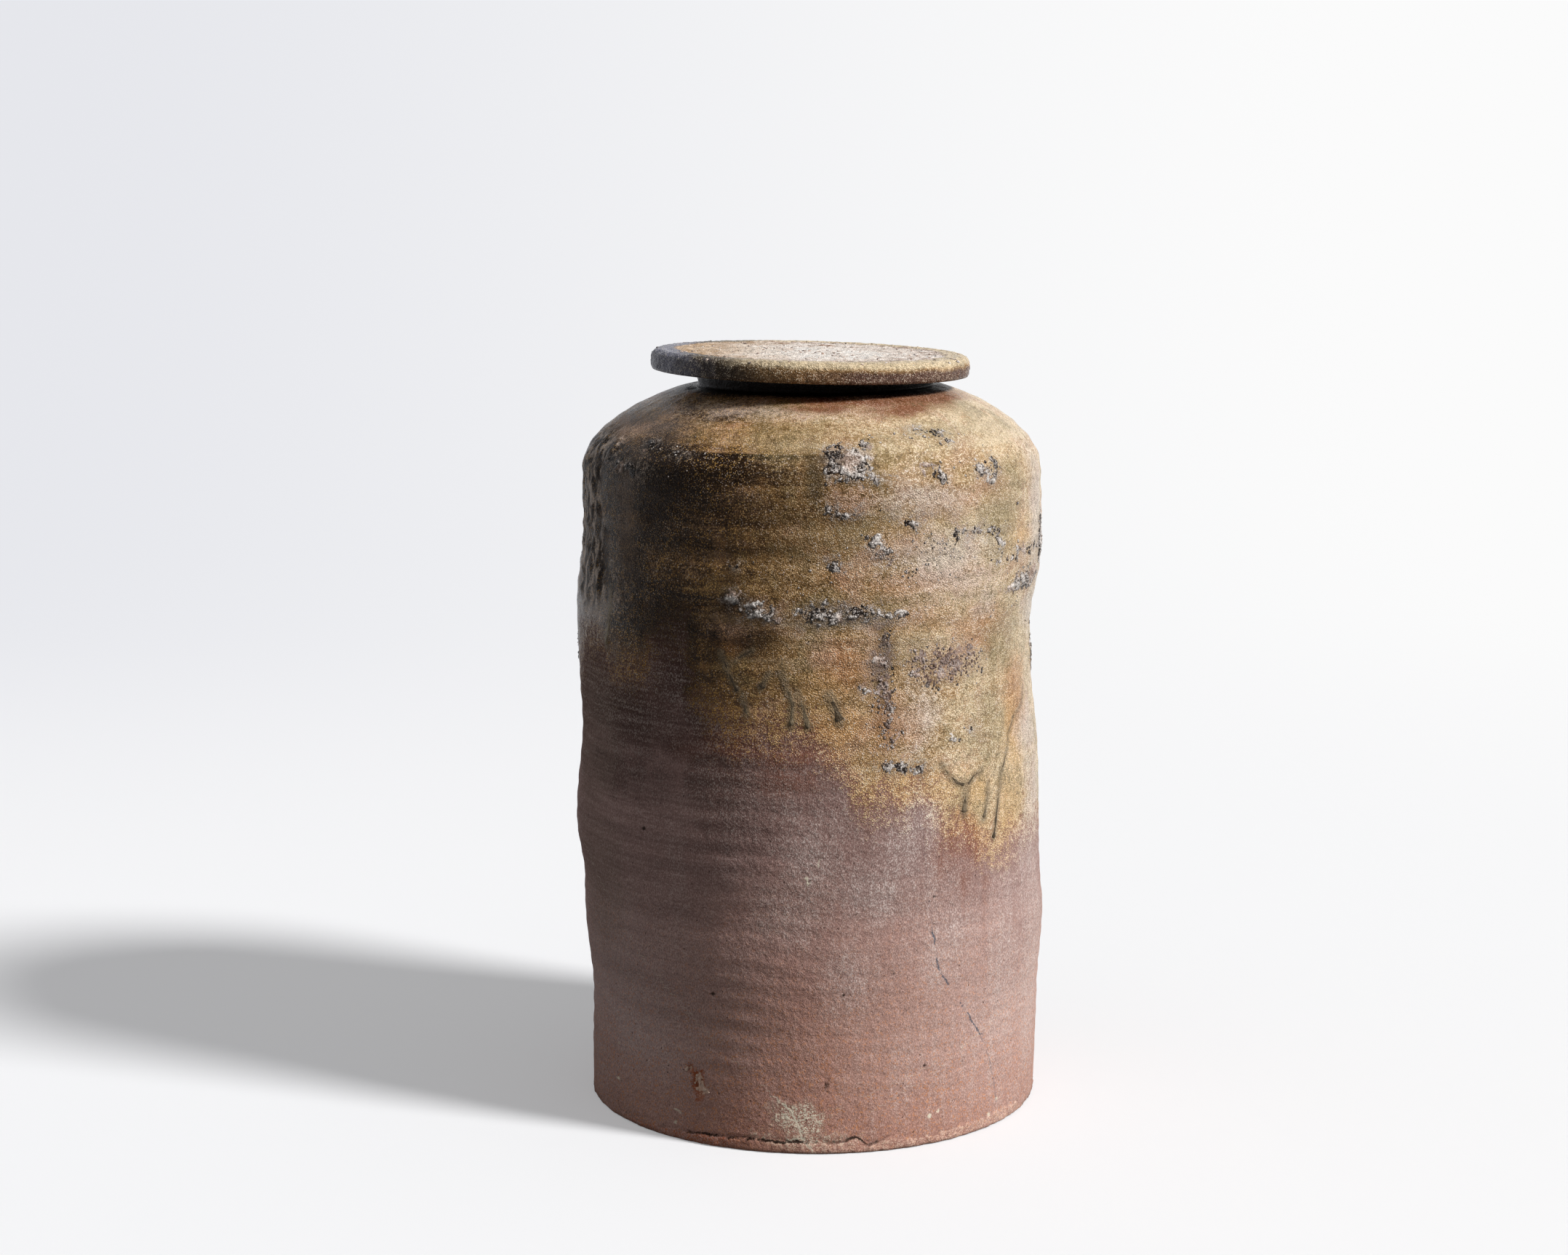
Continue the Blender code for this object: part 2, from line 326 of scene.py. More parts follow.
# Level bands of painted shade under the bulges of the throwing rings
RING_SHADE_PATCHES = (
    (868, 1146, 60, 5), (930, 1192, 46, 5), (915, 1254, 50, 6), (880, 1060, 70, 6),
    (900, 1020, 60, 8), (980, 1200, 50, 10), (1000, 1100, 70, 8), (870, 1340, 50, 7),
    (1150, 1245, 60, 5), (950, 1395, 60, 5), (1020, 1150, 58, 28),
)
STAIN_PATCHES = ((1098, 1537, 34, 20), (1078, 1526, 16, 9), (1120, 1545, 18, 13), (1105, 1568, 34, 5))
SCAB_PATCHES = ((1306, 912, 48, 28), (1262, 912, 14, 22), (1216, 940, 15, 60), (1222, 1010, 10, 34))
GASH_PATCHES = ((1040, 1563, 112, 14), (1184, 1568, 22, 10))

CHIPS = ((961, 1489, 13, 17), (946, 1468, 7, 7))
BROKEN_PATCHES = ((962, 1490, 10, 13), (946, 1469, 5, 4), (969, 1499, 7, 5))
PITS = ((887, 1138, 3, 3), (852, 1219, 3, 3), (981, 1366, 4, 3), (1272, 1464, 2, 3), (1287, 1233, 3, 3),
        (1137, 1490, 1, 6), (1316, 1296, 2, 2), (1160, 1370, 2, 2))
LIME_SPOTS = (
    (928, 1541, 3, 2), (1277, 1533, 3, 2), (1289, 1526, 2, 2), (851, 1431, 2, 2), (851, 1481, 2, 2),
    (1323, 1438, 2, 2), (1370, 1509, 2, 2), (1358, 1531, 2, 2), (1111, 1210, 2, 5),
)

# Every mark made of patches that both sides bear, by its name in the materials
WALL_PATCHES = {
    "crust": CRUST_PATCHES, "dark": DARK_PATCHES, "olive": OLIVE_PATCHES, "rust": RUST_PATCHES,
    "gold": GOLD_PATCHES, "bare": BARE_PATCHES, "pale": PALE_PATCHES, "smear": RING_SHADE_PATCHES,
    "veil": VEIL_AND_SHEEN_PATCHES, "red": RED_PATCHES, "gloss": GLOSS_PATCHES, "scab": SCAB_PATCHES,
    "chip": CHIPS, "gash": GASH_PATCHES, "broken": BROKEN_PATCHES, "stain": STAIN_PATCHES,
    "pit": PITS, "lime": LIME_SPOTS,
}

# Grooves: half width, then the points of the line
GROOVES = (
    (4, (819, 1130), (849, 1141), (922, 1159)),
    (4, (900, 1194), (951, 1200)),
    (4, (878, 1244), (951, 1262)),
    (5, (820, 1040), (900, 1052), (990, 1046)),
    (5, (870, 690), (960, 702), (1060, 698)),
    (4, (880, 760), (980, 768), (1080, 760)),
)
KILN_CRACK = (
    (1283, 1282), (1286, 1306), (1288, 1322), (1294, 1339), (1301, 1347), (1311, 1366),
    (1320, 1378), (1336, 1403), (1345, 1417),
)
FAINT_CRACK = ((1345, 1417), (1352, 1434), (1359, 1452), (1366, 1484), (1371, 1527))
STAIN_VEINS = (
    ((1073, 1514), (1088, 1527), (1098, 1547), (1103, 1565), (1116, 1580)),
    ((1062, 1538), (1080, 1536), (1096, 1541), (1124, 1532)),
    ((1078, 1570), (1100, 1564), (1120, 1570), (1136, 1562)),
)
SCRATCHES = (((923, 1521), (937, 1529)), ((1106, 1205), (1113, 1224)), ((1128, 1180), (1124, 1194)))
LIP_CRACK = (
    (860, 1530), (900, 1545), (932, 1553), (985, 1561), (1030, 1565), (1073, 1569), (1120, 1570),
    (1158, 1569), (1176, 1562), (1192, 1573), (1205, 1571), (1220, 1562), (1260, 1563),
    (1310, 1550), (1360, 1530), (1400, 1508),
)

# The lines that the clay's material draws, with their colours, half widths and strengths
LINE_MARKS = (("crack", "crack", 0.6 * MM, 0.85), ("faint_crack", "crack", 0.4 * MM, 0.5),
              ("vein_1", "stain", 0.7 * MM, 0.9), ("vein_2", "stain", 0.55 * MM, 0.8),
              ("vein_3", "stain", 0.55 * MM, 0.8))
LINES = [name for name, *_ in LINE_MARKS]
SCRATCH_HALF_WIDTH = 0.5 * MM

# Runs of melted ash: width, size of the bead at the end, paleness, then the points of the line
RUNS = (
    (7, 6, 0.0, (990, 896), (1001, 922), (1010, 942), (1016, 950)),
    (8, 0, 0.7, (1020, 956), (1024, 968), (1027, 982)),
    (6, 0, 0.1, (1009, 910), (1019, 902), (1036, 893)),
    (8, 4, 0.3, (1057, 926), (1052, 936), (1046, 946)),
    (9, 3, 0.9, (1074, 926), (1082, 948), (1090, 968), (1088, 998)),
    (8, 3, 0.9, (1096, 950), (1104, 972), (1112, 1002)),
    (12, 8, 0.4, (1140, 955), (1149, 974), (1155, 992)),
    (7, 0, 0.4, (1294, 1050), (1304, 1064), (1316, 1076), (1327, 1079)),
    (6, 0, 0.4, (1349, 1057), (1338, 1066), (1330, 1079)),
    (9, 4, 0.7, (1328, 1078), (1327, 1096), (1325, 1118)),
    (6, 5, 0.5, (1358, 1076), (1357, 1098), (1352, 1125)),
    (4, 0, 0.3, (1406, 942), (1405, 963), (1392, 985), (1386, 1007), (1382, 1040), (1377, 1056)),
    (6, 6, 0.2, (1377, 1054), (1374, 1081), (1370, 1111), (1367, 1140), (1366, 1153)),
    (8, 4, 1.2, (840, 812), (838, 850), (834, 887)),
)


# Relief of the wall, in heights over the thrown shape
UPRIGHT_FROM, UPRIGHT_TO = 12 * MM, 40 * MM
SWELLING, SWELLING_RISE, SWELLING_FADE = 1.3 * MM, 19 * MM, 9 * MM
CHIP_DEPTH, PIT_DEPTH, GROOVE_DEPTH, GASH_DEPTH = 1.5 * MM, 0.6 * MM, 0.6 * MM, 0.8 * MM
LIP_SWELL = 0.9 * MM
FINGER_PITCH, FINGER_DEPTH = 9 * MM, 0.3 * MM

# Lumps of the fired skin: the mark that they lie in and its soft edge, how much it swells there,
# the lumps' height and size, all in mm, then their detail, shift in the noise and upright squeeze
SKIN_LUMPS = (
    ("above_limit", 0, 8, 0.15, 0.22, 6, 2, 6.0, 1.0),
    ("crust", -2, 3, 0.5, 0.5, 5, 2, 8.0, 1.0),
    ("scab", -3, 5, 0.0, 0.35, 4, 2, 14.0, 1.0),
    ("strip", -3, 5, 0.0, 1.6, 7.5, 3, 12.0, 0.5),
)

# The flames and the lamp are both on the right: colours pale towards them, partly as painted light, and
# painted shade darkens the ash below the shoulder's edge
FIRE_AND_LAMP_SIDE = math.radians(-22)
SHOULDER_EDGE_RISE = 12 * MM


@functools.cache
def thrown_wall():
    """The jar's own skin as a fine grid of rings, before anything marks it."""
    points, places, knots = fine_rings(turned_rings("jar_body")[0], WALL_SPACING, COLUMNS)
    shoulder, top, rim = knots[[RING_AT_SHOULDER, RING_AT_TOP, RING_AT_RIM]]
    last = int(np.searchsorted(places, rim))
    return SimpleNamespace(points=points, places=places, facing=outward(points), last=last,
                           outer=points[:last], up=places[:last, None], shoulder=shoulder, top=top,
                           rim=rim, angles=FULL_TURN * np.arange(COLUMNS) / COLUMNS,
                           heights=points[:, :, 2].mean(1))


@functools.cache
def at_pixel(x, y):
    """Angle round the jar and distance up its profile of what a pixel of the photograph shows."""
    wall = thrown_wall()
    point = seen_at(x, y)
    climb = int(np.searchsorted(wall.places, wall.top))
    height = np.interp(point[2], wall.heights[:climb], wall.places[:climb])
    return math.atan2(point[1], point[0]) % FULL_TURN, float(height)


def from_angle(angles, angle):
    """Distance round the wall from one angle, the short way."""
    return ((np.asarray(angles) - angle + math.pi) % FULL_TURN - math.pi) * MAP_RADIUS


def on_sides(patches, sides=SIDES):
    """Angle, height and half sizes on the wall, on each side, of patches given in pixels."""
    near = []
    for x, y, wide, tall in patches:
        left, right = at_pixel(x - wide, y)[0], at_pixel(x + wide, y)[0]
        low, high = at_pixel(x, y + tall)[1], at_pixel(x, y - tall)[1]
        near.append((at_pixel(x, y)[0], 0.5 * (low + high),
                     max(0.5 * abs(from_angle(right, left)), MM), max(0.5 * (high - low), MM)))
    return [((angle + turn) % FULL_TURN, height + drop, *half_sizes)
            for turn, drop in sides for angle, height, *half_sizes in near]


@functools.cache
def pushes():
    """How far each place on the outer wall is pushed, across and up, so that marks get torn edges."""
    points = thrown_wall().outer
    return [broad * MM * lumps(points, 20 * MM, 2, shift)
            + 2.4 * MM * lumps(points, 6 * MM, 2, shift + 1) for broad, shift in ((5.5, 21.0), (4.0, 23.0))]


def patches_mark(patches, sides=SIDES):
    """Distance inside the nearest patch's edge, all over the wall."""
    wall = thrown_wall()
    mark = np.full(wall.outer.shape[:2], FAR_OUTSIDE)
    push_across, push_up = pushes()
    for angle, height, wide, tall in on_sides(patches, sides):
        size = min(wide, tall)
        torn = min(1.0, size / (4 * MM))
        across = (from_angle(wall.angles, angle) + torn * push_across) / wide
        up = (wall.up - height + torn * push_up) / tall
        mark = np.maximum(mark, (1 - np.sqrt(across ** 2 + up ** 2)) * size)
    return np.clip(mark, FAR_OUTSIDE, FAR_INSIDE)


def line_mark(pixels, turn=0.0, drop=0.0):
    """Signed distance beside a line that is given in pixels, all over the wall."""
    wall = thrown_wall()
    line = [(angle + turn, height + drop) for angle, height in (at_pixel(*pixel) for pixel in pixels)]
    start = line[0][0]
    ends = [(float(from_angle(angle, start)), height) for angle, height in line]
    across = from_angle(wall.angles, start)[None, :]
    beside = np.full(wall.outer.shape[:2], 1.0)
    for (x0, y0), (x1, y1) in zip(ends, ends[1:]):
        length = math.hypot(x1 - x0, y1 - y0)
        ux, uy = (x1 - x0) / length, (y1 - y0) / length
        share = np.clip((across - x0) * ux + (wall.up - y0) * uy, 0, length)
        away = np.hypot(across - x0 - share * ux, wall.up - y0 - share * uy)
        side = np.sign((across - x0) * uy - (wall.up - y0) * ux)
        beside = np.where(away < np.abs(beside), away * np.where(side == 0, 1, side), beside)
    return np.clip(beside, FAR_OUTSIDE, FAR_INSIDE)


def runs_mark():
    """Distance inside the nearest run of ash, with the ash that it clouds beside it."""
    inside = [0.5 * width * PIXEL_SIZE * 1.25 - np.abs(line_mark(pixels, *side))
              for side in SIDES for width, _, _, *pixels in RUNS]
    return np.clip(np.max(inside, axis=0), FAR_OUTSIDE, FAR_INSIDE)


def above_limit():
    """Distance above the lower edge of the ash, which hangs down in tongues."""
    wall = thrown_wall()
    near = [at_pixel(*pixel) for pixel in GLAZE_LIMIT]
    far = [(math.radians(angle), height) for angle, height in FAR_GLAZE_LIMIT]
    at, height = np.array(sorted(near + far)).T
    push_across, push_up = pushes()
    turned = wall.angles + 1.6 * push_across / MAP_RADIUS
    edge = np.interp(turned.ravel(), at, height, period=FULL_TURN).reshape(turned.shape)
    drawn_out = wall.outer * np.array([1.0, 1.0, 0.16])
    tongues = 6 * MM * lumps(drawn_out, 11 * MM, 3, 31.0)
    return wall.up - edge + 1.5 * push_up + tongues


def lip_height():
    """Height of the crack of the foot's lip, all round: as seen in front, and even elsewhere."""
    angles = thrown_wall().angles
    at, height = np.array(sorted(at_pixel(*pixel) for pixel in LIP_CRACK)).T
    steady = 3.4 * MM + 0.9 * MM * np.sin(5 * angles) + 0.5 * MM * np.sin(11 * angles + 1)
    near = np.interp(angles, at, height, left=np.nan, right=np.nan)
    return np.where(np.isnan(near), steady, near)


def wall_marks():
    """Every mark on the outer wall, by its name in the materials."""
    wall = thrown_wall()
    marks = {name: patches_mark(patches) for name, patches in WALL_PATCHES.items()}
    marks["strip"] = patches_mark(STRIP_PATCHES, NEAR_SIDE)
    marks["above_limit"] = np.clip(above_limit(), -0.1, 0.1)
    for name, line in zip(LINES, (KILN_CRACK, FAINT_CRACK, *STAIN_VEINS)):
        marks[name] = line_mark(line)
    for line in SCRATCHES:
        marks["lime"] = np.maximum(marks["lime"], SCRATCH_HALF_WIDTH - np.abs(line_mark(line)))
    marks["lip"] = np.clip(lip_height() - wall.up, FAR_OUTSIDE, FAR_INSIDE)
    marks["run"] = runs_mark()
    # The side towards the flames and the lamp, where colours pale partly as painted light; painted shade
    # below the shoulder's edge and on the neck under the lid
    for name, values in (("fire", 0.5 + 0.5 * np.cos(wall.angles - FIRE_AND_LAMP_SIDE)),
                         ("under_edge", wall.shoulder + SHOULDER_EDGE_RISE - wall.up),
                         ("neck", wall.up - wall.top)):
        marks[name] = np.broadcast_to(values, wall.outer.shape[:2])
    return marks


def wall_relief(marks):
    """How far each point of the outer wall stands out of the thrown shape."""
    wall = thrown_wall()
    points, up = wall.outer, wall.up
    sizes = bpy.context.scene.stoneware_sizes

    def inside(mark, low, high):
        return soft_step(marks[mark], low * MM, high * MM)

    # The throwing rings climb in a spiral that drifts and fades
    upright = soft_step(up, UPRIGHT_FROM, UPRIGHT_TO) * soft_step(up, wall.top, wall.shoulder)
    turns = up / sizes.ring_pitch + wall.angles / FULL_TURN + 0.35 * lumps(points, 60 * MM, 2)
    strength = 0.55 + 0.45 * lumps(points, 45 * MM, 2, shift=7.0)
    relief = sizes.ring_depth * upright * strength * np.sin(FULL_TURN * turns)
    # The shoulder swells a little towards the fire, where it shines
    swell = np.exp(-((up - wall.shoulder - SWELLING_RISE) / SWELLING_FADE) ** 2)
    relief += SWELLING * swell * inside("gloss", -12, 4)
    relief += 0.25 * MM * lumps(points, 16 * MM, 3, shift=3.0)
    for mark, low, high, rise, height, size, detail, shift, squeeze in SKIN_LUMPS:
        lumpy = lumps(points * np.array([1.0, 1.0, squeeze]), size * MM, detail, shift)
        relief += inside(mark, low, high) * (rise + height * lumpy) * MM
    # The chip is a pit with a torn edge
    torn = marks["chip"] + 0.8 * MM * lumps(points, 3 * MM, 2, shift=5.0)
    relief -= CHIP_DEPTH * soft_step(torn, -0.3 * MM, 2.2 * MM)
    relief -= PIT_DEPTH * inside("pit", -0.4, 0.8)
    for half_width, *line in GROOVES:
        relief -= GROOVE_DEPTH * np.exp(-(line_mark(line) / (half_width * 0.5 * MM)) ** 2)
    # The trimmed foot left a rolled lip of clay, torn away from the wall above it
    ragged_edge = lumps(points, 5 * MM, 3, shift=11.0)
    lip = LIP_SWELL * inside("lip", -0.4, 0.8) * (0.65 + 0.6 * ragged_edge)
    gash = np.exp(-((marks["lip"] + 0.5 * MM) / (0.7 * MM)) ** 2) * (0.2 + 0.8 * inside("gash", -3, 2))
    return (relief + lip * soft_step(up, -1.5 * MM, 2.5 * MM)
            - GASH_DEPTH * gash * (0.7 + 0.5 * ragged_edge))


@functools.cache
def marked_wall():
    """The fine grid with its relief, and the marks that its materials read."""
    wall = thrown_wall()
    marks = wall_marks()
    points = wall.points.copy()
    fade = soft_step(wall.up, wall.places[wall.last - 1], wall.rim - 8 * MM)
    # The potter's fingers left shallow rings inside
    inner = wall.places[wall.last:, None] - wall.rim
    fingers = FINGER_DEPTH * np.sin(FULL_TURN * inner / FINGER_PITCH + wall.angles)
    relief = np.concatenate([wall_relief(marks) * fade, fingers * soft_step(inner, 0, 0.02)])
    points += wall.facing * relief[:, :, None]
    points[:, :, 2] = np.maximum(points[:, :, 2], 0.0)
    return SimpleNamespace(points=points, marks=marks, facing=outward(points), wall=wall)


def sampled(grid, angles, heights):
    """Values of a grid over the wall, read between its points."""
    row = np.interp(heights, thrown_wall().places[:len(grid)], np.arange(len(grid)))
    column = np.asarray(angles) % FULL_TURN / FULL_TURN * COLUMNS
    r0 = np.clip(row.astype(int), 0, len(grid) - 2)
    c0 = np.floor(column).astype(int) % COLUMNS
    c1 = (c0 + 1) % COLUMNS
    fr, fc = row - r0, column - np.floor(column)
    if grid.ndim == 3:
        fr, fc = fr[..., None], fc[..., None]
    low = grid[r0, c0] * (1 - fc) + grid[r0, c1] * fc
    high = grid[r0 + 1, c0] * (1 - fc) + grid[r0 + 1, c1] * fc
    return low * (1 - fr) + high * fr


def on_wall(angles, heights):
    """Points of the marked wall and the ways they face, at angles and distances up the profile."""
    skin = marked_wall()
    facing = sampled(skin.facing, angles, heights)
    return sampled(skin.points, angles, heights), facing / np.linalg.norm(facing, axis=-1, keepdims=True)


# Making meshes

def band(low, high):
    """Faces between two rings of points, whose counts may differ by a whole number of times."""
    if len(low) == len(high):
        turn = np.roll(np.arange(len(low)), -1)
        return np.stack([low, low[turn], high[turn], high], axis=1).tolist()
    fine, coarse, flip = (low, high, False) if len(low) > len(high) else (high, low, True)
    times = len(fine) // len(coarse)
    faces = []
    for i, here in enumerate(coarse):
        there = coarse[(i + 1) % len(coarse)]
        for k in range(times):
            a, b = fine[times * i + k], fine[(times * i + k + 1) % len(fine)]
            faces.append([a, b, here if k < times // 2 else there])
            if k == times // 2 - 1:
                faces.append([b, there, here])
    return [face[::-1] for face in faces] if flip else faces


def bands(rings):
    """Faces between each ring of points and the next."""
    return [face for low, high in zip(rings, rings[1:]) for face in band(low, high)]


def piece(name, points, faces, material, marks=None):
    """One smooth mesh object in the scene, with its marks for the material."""
    mesh = bpy.data.meshes.new(name)
    mesh.from_pydata(points.tolist(), [], faces)
    mesh.shade_smooth()
    mesh.materials.append(material)
    for mark, values in (marks or {}).items():
        layer = mesh.attributes.new(mark, "FLOAT", "POINT")
        layer.data.foreach_set("value", np.ascontiguousarray(values, np.float32).ravel())
    made = bpy.data.objects.new(name, mesh)
    bpy.context.scene.collection.objects.link(made)
    return made


def boxed(points):
    """Points kept within the CAD's box."""
    return np.clip(points, cad_low, cad_high)


# The foot's underside, from its edge in: share of its radius, and how high it is hollowed
FOOT_RINGS = ((0.965, 0.0), (0.95, 0.5 * MM), (0.6, 0.7 * MM), (0.3, 0.8 * MM))
FLOOR_SHARES = (0.75, 0.5, 0.25)


def make_jar_wall():
    """The whole vessel in one closed skin: outside, rim, hollow, floor and foot."""
    skin = marked_wall()
    last = skin.wall.last
    around = FULL_TURN * np.arange(BASE_COLUMNS) / BASE_COLUMNS
    circle = np.stack([np.cos(around), np.sin(around), np.ones(BASE_COLUMNS)], axis=1)
    radius = np.linalg.norm(skin.points[0, :, :2], axis=1).mean()
    inner = list(skin.points[last:, ::COLUMNS // INNER_COLUMNS])
    groups = {"outer": list(skin.points[:last]), "inner": inner,
              "foot": [circle * (radius * share, radius * share, rise) for share, rise in FOOT_RINGS],
              "floor": [inner[-1] * (share, share, 1.0) for share in FLOOR_SHARES]}
    middles = [[[0, 0, FOOT_RINGS[-1][1]]], [[0, 0, inner[-1][:, 2].mean()]]]
    loops, hollow, start = {}, [], 0
    for name, rings in groups.items():
        loops[name] = [start + np.arange(len(ring)) + i * len(ring) for i, ring in enumerate(rings)]
        count = sum(map(len, rings))
        hollow.append(np.full(count, float(name in ("inner", "floor"))))
        start += count
    order = loops["foot"][::-1] + loops["outer"] + loops["inner"] + loops["floor"]
    faces = bands(order)
    faces += [[b, a, start] for a, b in zip(order[0], np.roll(order[0], -1))]
    faces += [[a, b, start + 1] for a, b in zip(order[-1], np.roll(order[-1], -1))]
    points = np.concatenate([*sum(groups.values(), []), *middles])
    rest = len(points) - last * COLUMNS
    marks = {name: np.append(values, np.full(rest, FAR_INSIDE if name in LINES else FAR_OUTSIDE))
             for name, values in skin.marks.items()}
    marks["hollow"] = np.concatenate([*hollow, [0.0, 1.0]])
    jar = piece("jar_wall", boxed(points), faces, ash_glazed_stoneware(), marks)
    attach(jar, "jar")
    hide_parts("jar_body")


# Loose grains: where they lie, how many to a square mm, radius as a share of the usual, and shade
GRAIN_SEED = 20
GRAIN_FIELDS = (
    (CRUST_PATCHES, 0.08, 1.0, 0.2), (SCAB_PATCHES, 0.26, 0.95, 0.1), (FIELD_PATCHES, 0.08, 0.75, 0.25),
    (GRIT_PATCHES, 0.008, 0.8, 0.3), (BROKEN_PATCHES, 0.25, 1.1, 0.5),
)
GRAIN_FLATNESS = 0.75
LEAST_GRAIN, LARGEST_GRAIN = 0.28 * MM, 1.1 * MM
BROKEN_CLAY_HEIGHT = 80 * MM
CRUST_STEP = 0.55 * MM
CRUST_GRAIN = 1.5 * MM
FRONT = 1.5 * math.pi


def sunk_grains(centre, up, radii, rng):
    """Lumpy grains half sunk in a skin: corners, faces, and how high on its grain each corner is."""
    bm = bmesh.new()
    bmesh.ops.create_icosphere(bm, subdivisions=2, radius=1.0)
    corners = np.array([v.co[:] for v in bm.verts])
    faces = np.array([[v.index for v in f.verts] for f in bm.faces])
    bm.free()
    count = len(radii)
    side = np.cross(up, np.array([0.31, 0.17, 0.93]))
    side /= np.linalg.norm(side, axis=1, keepdims=True)
    rise = np.cross(up, side)
    spin = rng.uniform(0, FULL_TURN, count)[:, None]
    first = side * np.cos(spin) + rise * np.sin(spin)
    second = np.cross(up, first)
    shape = 1 + rng.uniform(-0.22, 0.22, (count, len(corners), 1))
    local = corners[None] * shape * radii[:, None, None]
    stretch = rng.uniform(0.8, 1.4, (count, 1, 1))
    places = (local[:, :, 0:1] * stretch * first[:, None] + local[:, :, 1:2] * second[:, None]
              + local[:, :, 2:3] * GRAIN_FLATNESS * up[:, None])
    places += (centre - up * radii[:, None] * 0.12)[:, None]
    joined = faces[None] + (np.arange(count) * len(corners))[:, None, None]
    tops = np.broadcast_to(corners[None, :, 2], (count, len(corners)))
    return places.reshape(-1, 3), joined.reshape(-1, 3), tops.reshape(-1)


def strewn(patches, per_area, radius, shade, rng):
    """Angles, heights, radii and shades of grains strewn over patches, in torn heaps."""
    heaps = []
    for angle, height, wide, tall in on_sides(patches):
        count = int(math.pi * wide * tall * per_area * 1.8) + 3
        turn = rng.uniform(0, FULL_TURN, count)
        share = 1.6 * rng.uniform(0, 1, count) ** 0.7
        across, up = share * np.cos(turn) * wide, share * np.sin(turn) * tall
        here = np.stack([across + angle * MAP_RADIUS, up + height, np.zeros(count)], axis=1)
        keep = lumps(here, 5 * MM, 2, shift=17.0) > 0.9 * share - 0.85
        size = radius * rng.lognormal(0.0, 0.34, count) * np.where(share > 0.8, 0.7, 1.0)
        heap = np.stack([angle + across / MAP_RADIUS, height + up, size,
                         shade + rng.normal(0, 0.15, count)])
        heaps.append(heap[:, keep])
    return np.concatenate(heaps, axis=1)


def merged_crust(turn, drop):
    """A skin of merged grains over every crust on one side: points, faces and marks."""
    skin = marked_wall()
    frames = np.array(on_sides((*CRUST_PATCHES, *SCAB_PATCHES), NEAR_SIDE))
    aside = from_angle(frames[:, 0], FRONT)
    reach = 1.5 * frames[:, 2].max()
    across = np.arange(aside.min() - reach, aside.max() + reach, CRUST_STEP) / MAP_RADIUS
    up = np.arange((frames[:, 1] - frames[:, 3]).min() - reach, frames[:, 1].max() + reach, CRUST_STEP)
    angles, heights = np.meshgrid(FRONT + across + turn, up + drop)
    crust, scab = (sampled(skin.marks[name], angles, heights) for name in ("crust", "scab"))
    kept = (np.maximum(crust, scab) > -4 * MM) & (heights < skin.wall.top)
    points, facing = on_wall(angles[kept], heights[kept])
    stirred = points + 0.5 * MM * lumps(points, 2.5 * MM, 2, shift=27.0)[:, None]
    grains = [noise.voronoi(place)[0][:2] for place in (stirred / CRUST_GRAIN).tolist()]
    near, next_near = np.array(grains).T
    torn, heaps, fine = (lumps(points, size * MM, detail, shift)
                         for size, detail, shift in ((3.5, 3, 18.0), (6, 2, 19.0), (1.3, 2, 28.0)))
    there = np.maximum(soft_step(crust[kept] + 4.0 * MM * torn, -2.4 * MM, 2.4 * MM),
                       0.5 * soft_step(scab[kept] + 11.0 * MM * torn, 0.0 * MM, 5.0 * MM))
    rise = 0.4 * MM + 1.2 * MM * (0.7 - near) + 0.5 * MM * heaps + 0.3 * MM * fine
    rise = there * rise - 0.3 * MM
    points = points + facing * rise[:, None]
    order = np.full(angles.shape, -1)
    order[kept] = np.arange(kept.sum())
    corners = np.stack([order[:-1, :-1], order[:-1, 1:], order[1:, 1:], order[1:, :-1]], axis=-1)
    # A face shows where it comes out of the wall, and stays where enough of its neighbours show too
    shown = (corners >= 0).all(axis=-1) & (rise[corners].max(axis=-1) > 0)
    crowd = sum(np.roll(shown, (i, j), (0, 1)).astype(int) for i in (-1, 0, 1) for j in (-1, 0, 1))
    used, faces = np.unique(corners[shown & (crowd > 4)], return_inverse=True)
    # Crusts away from the flames and the lamp are dimmed, partly as painted shade; tops, how high the crust
    # stands, gives it painted highlight in its material
    dimmed = 1.1 - 1.1 * soft_step(sampled(skin.marks["fire"], angles[kept], heights[kept]), 0.25, 0.6)
    marks = {"tops": np.clip((rise + 0.1 * MM) / (1.0 * MM), 0, 1),
             "shade": 0.5 + 0.5 * heaps + 0.35 * np.clip(next_near - near, 0, 1) - dimmed,
             "warm": soft_step(lumps(points, 12 * MM, 2, shift=20.0), 0.1, 0.5) * 0.35,
             "brown": soft_step(scab[kept], -2 * MM, 4 * MM)}
    return points[used], faces.reshape(-1, 4), {name: values[used] for name, values in marks.items()}


def loose_grains():
    """Single grains of ash on the glaze and of broken clay in the chip: points, faces and marks."""
    rng = np.random.default_rng(GRAIN_SEED)
    radius = bpy.context.scene.stoneware_sizes.nodule_radius
    grains = np.concatenate([strewn(patches, per_mm / MM ** 2, share * radius, shade, rng)
                             for patches, per_mm, share, shade in GRAIN_FIELDS], axis=1)
    angles, heights, radii, shades = grains[:, grains[1] < thrown_wall().top]
    centre, up = on_wall(angles, heights)
    points, faces, tops = sunk_grains(centre, up, np.clip(radii, LEAST_GRAIN, LARGEST_GRAIN), rng)
    brown = soft_step(sampled(marked_wall().marks["scab"], angles, heights), -2 * MM, 4 * MM)
    marks = {"shade": shades, "warm": np.where(heights < BROKEN_CLAY_HEIGHT, 0.8, 0.0), "brown": brown}
    each = len(points) // len(radii)
    return points, faces, {"tops": tops, **{name: np.repeat(marks[name], each) for name in marks}}


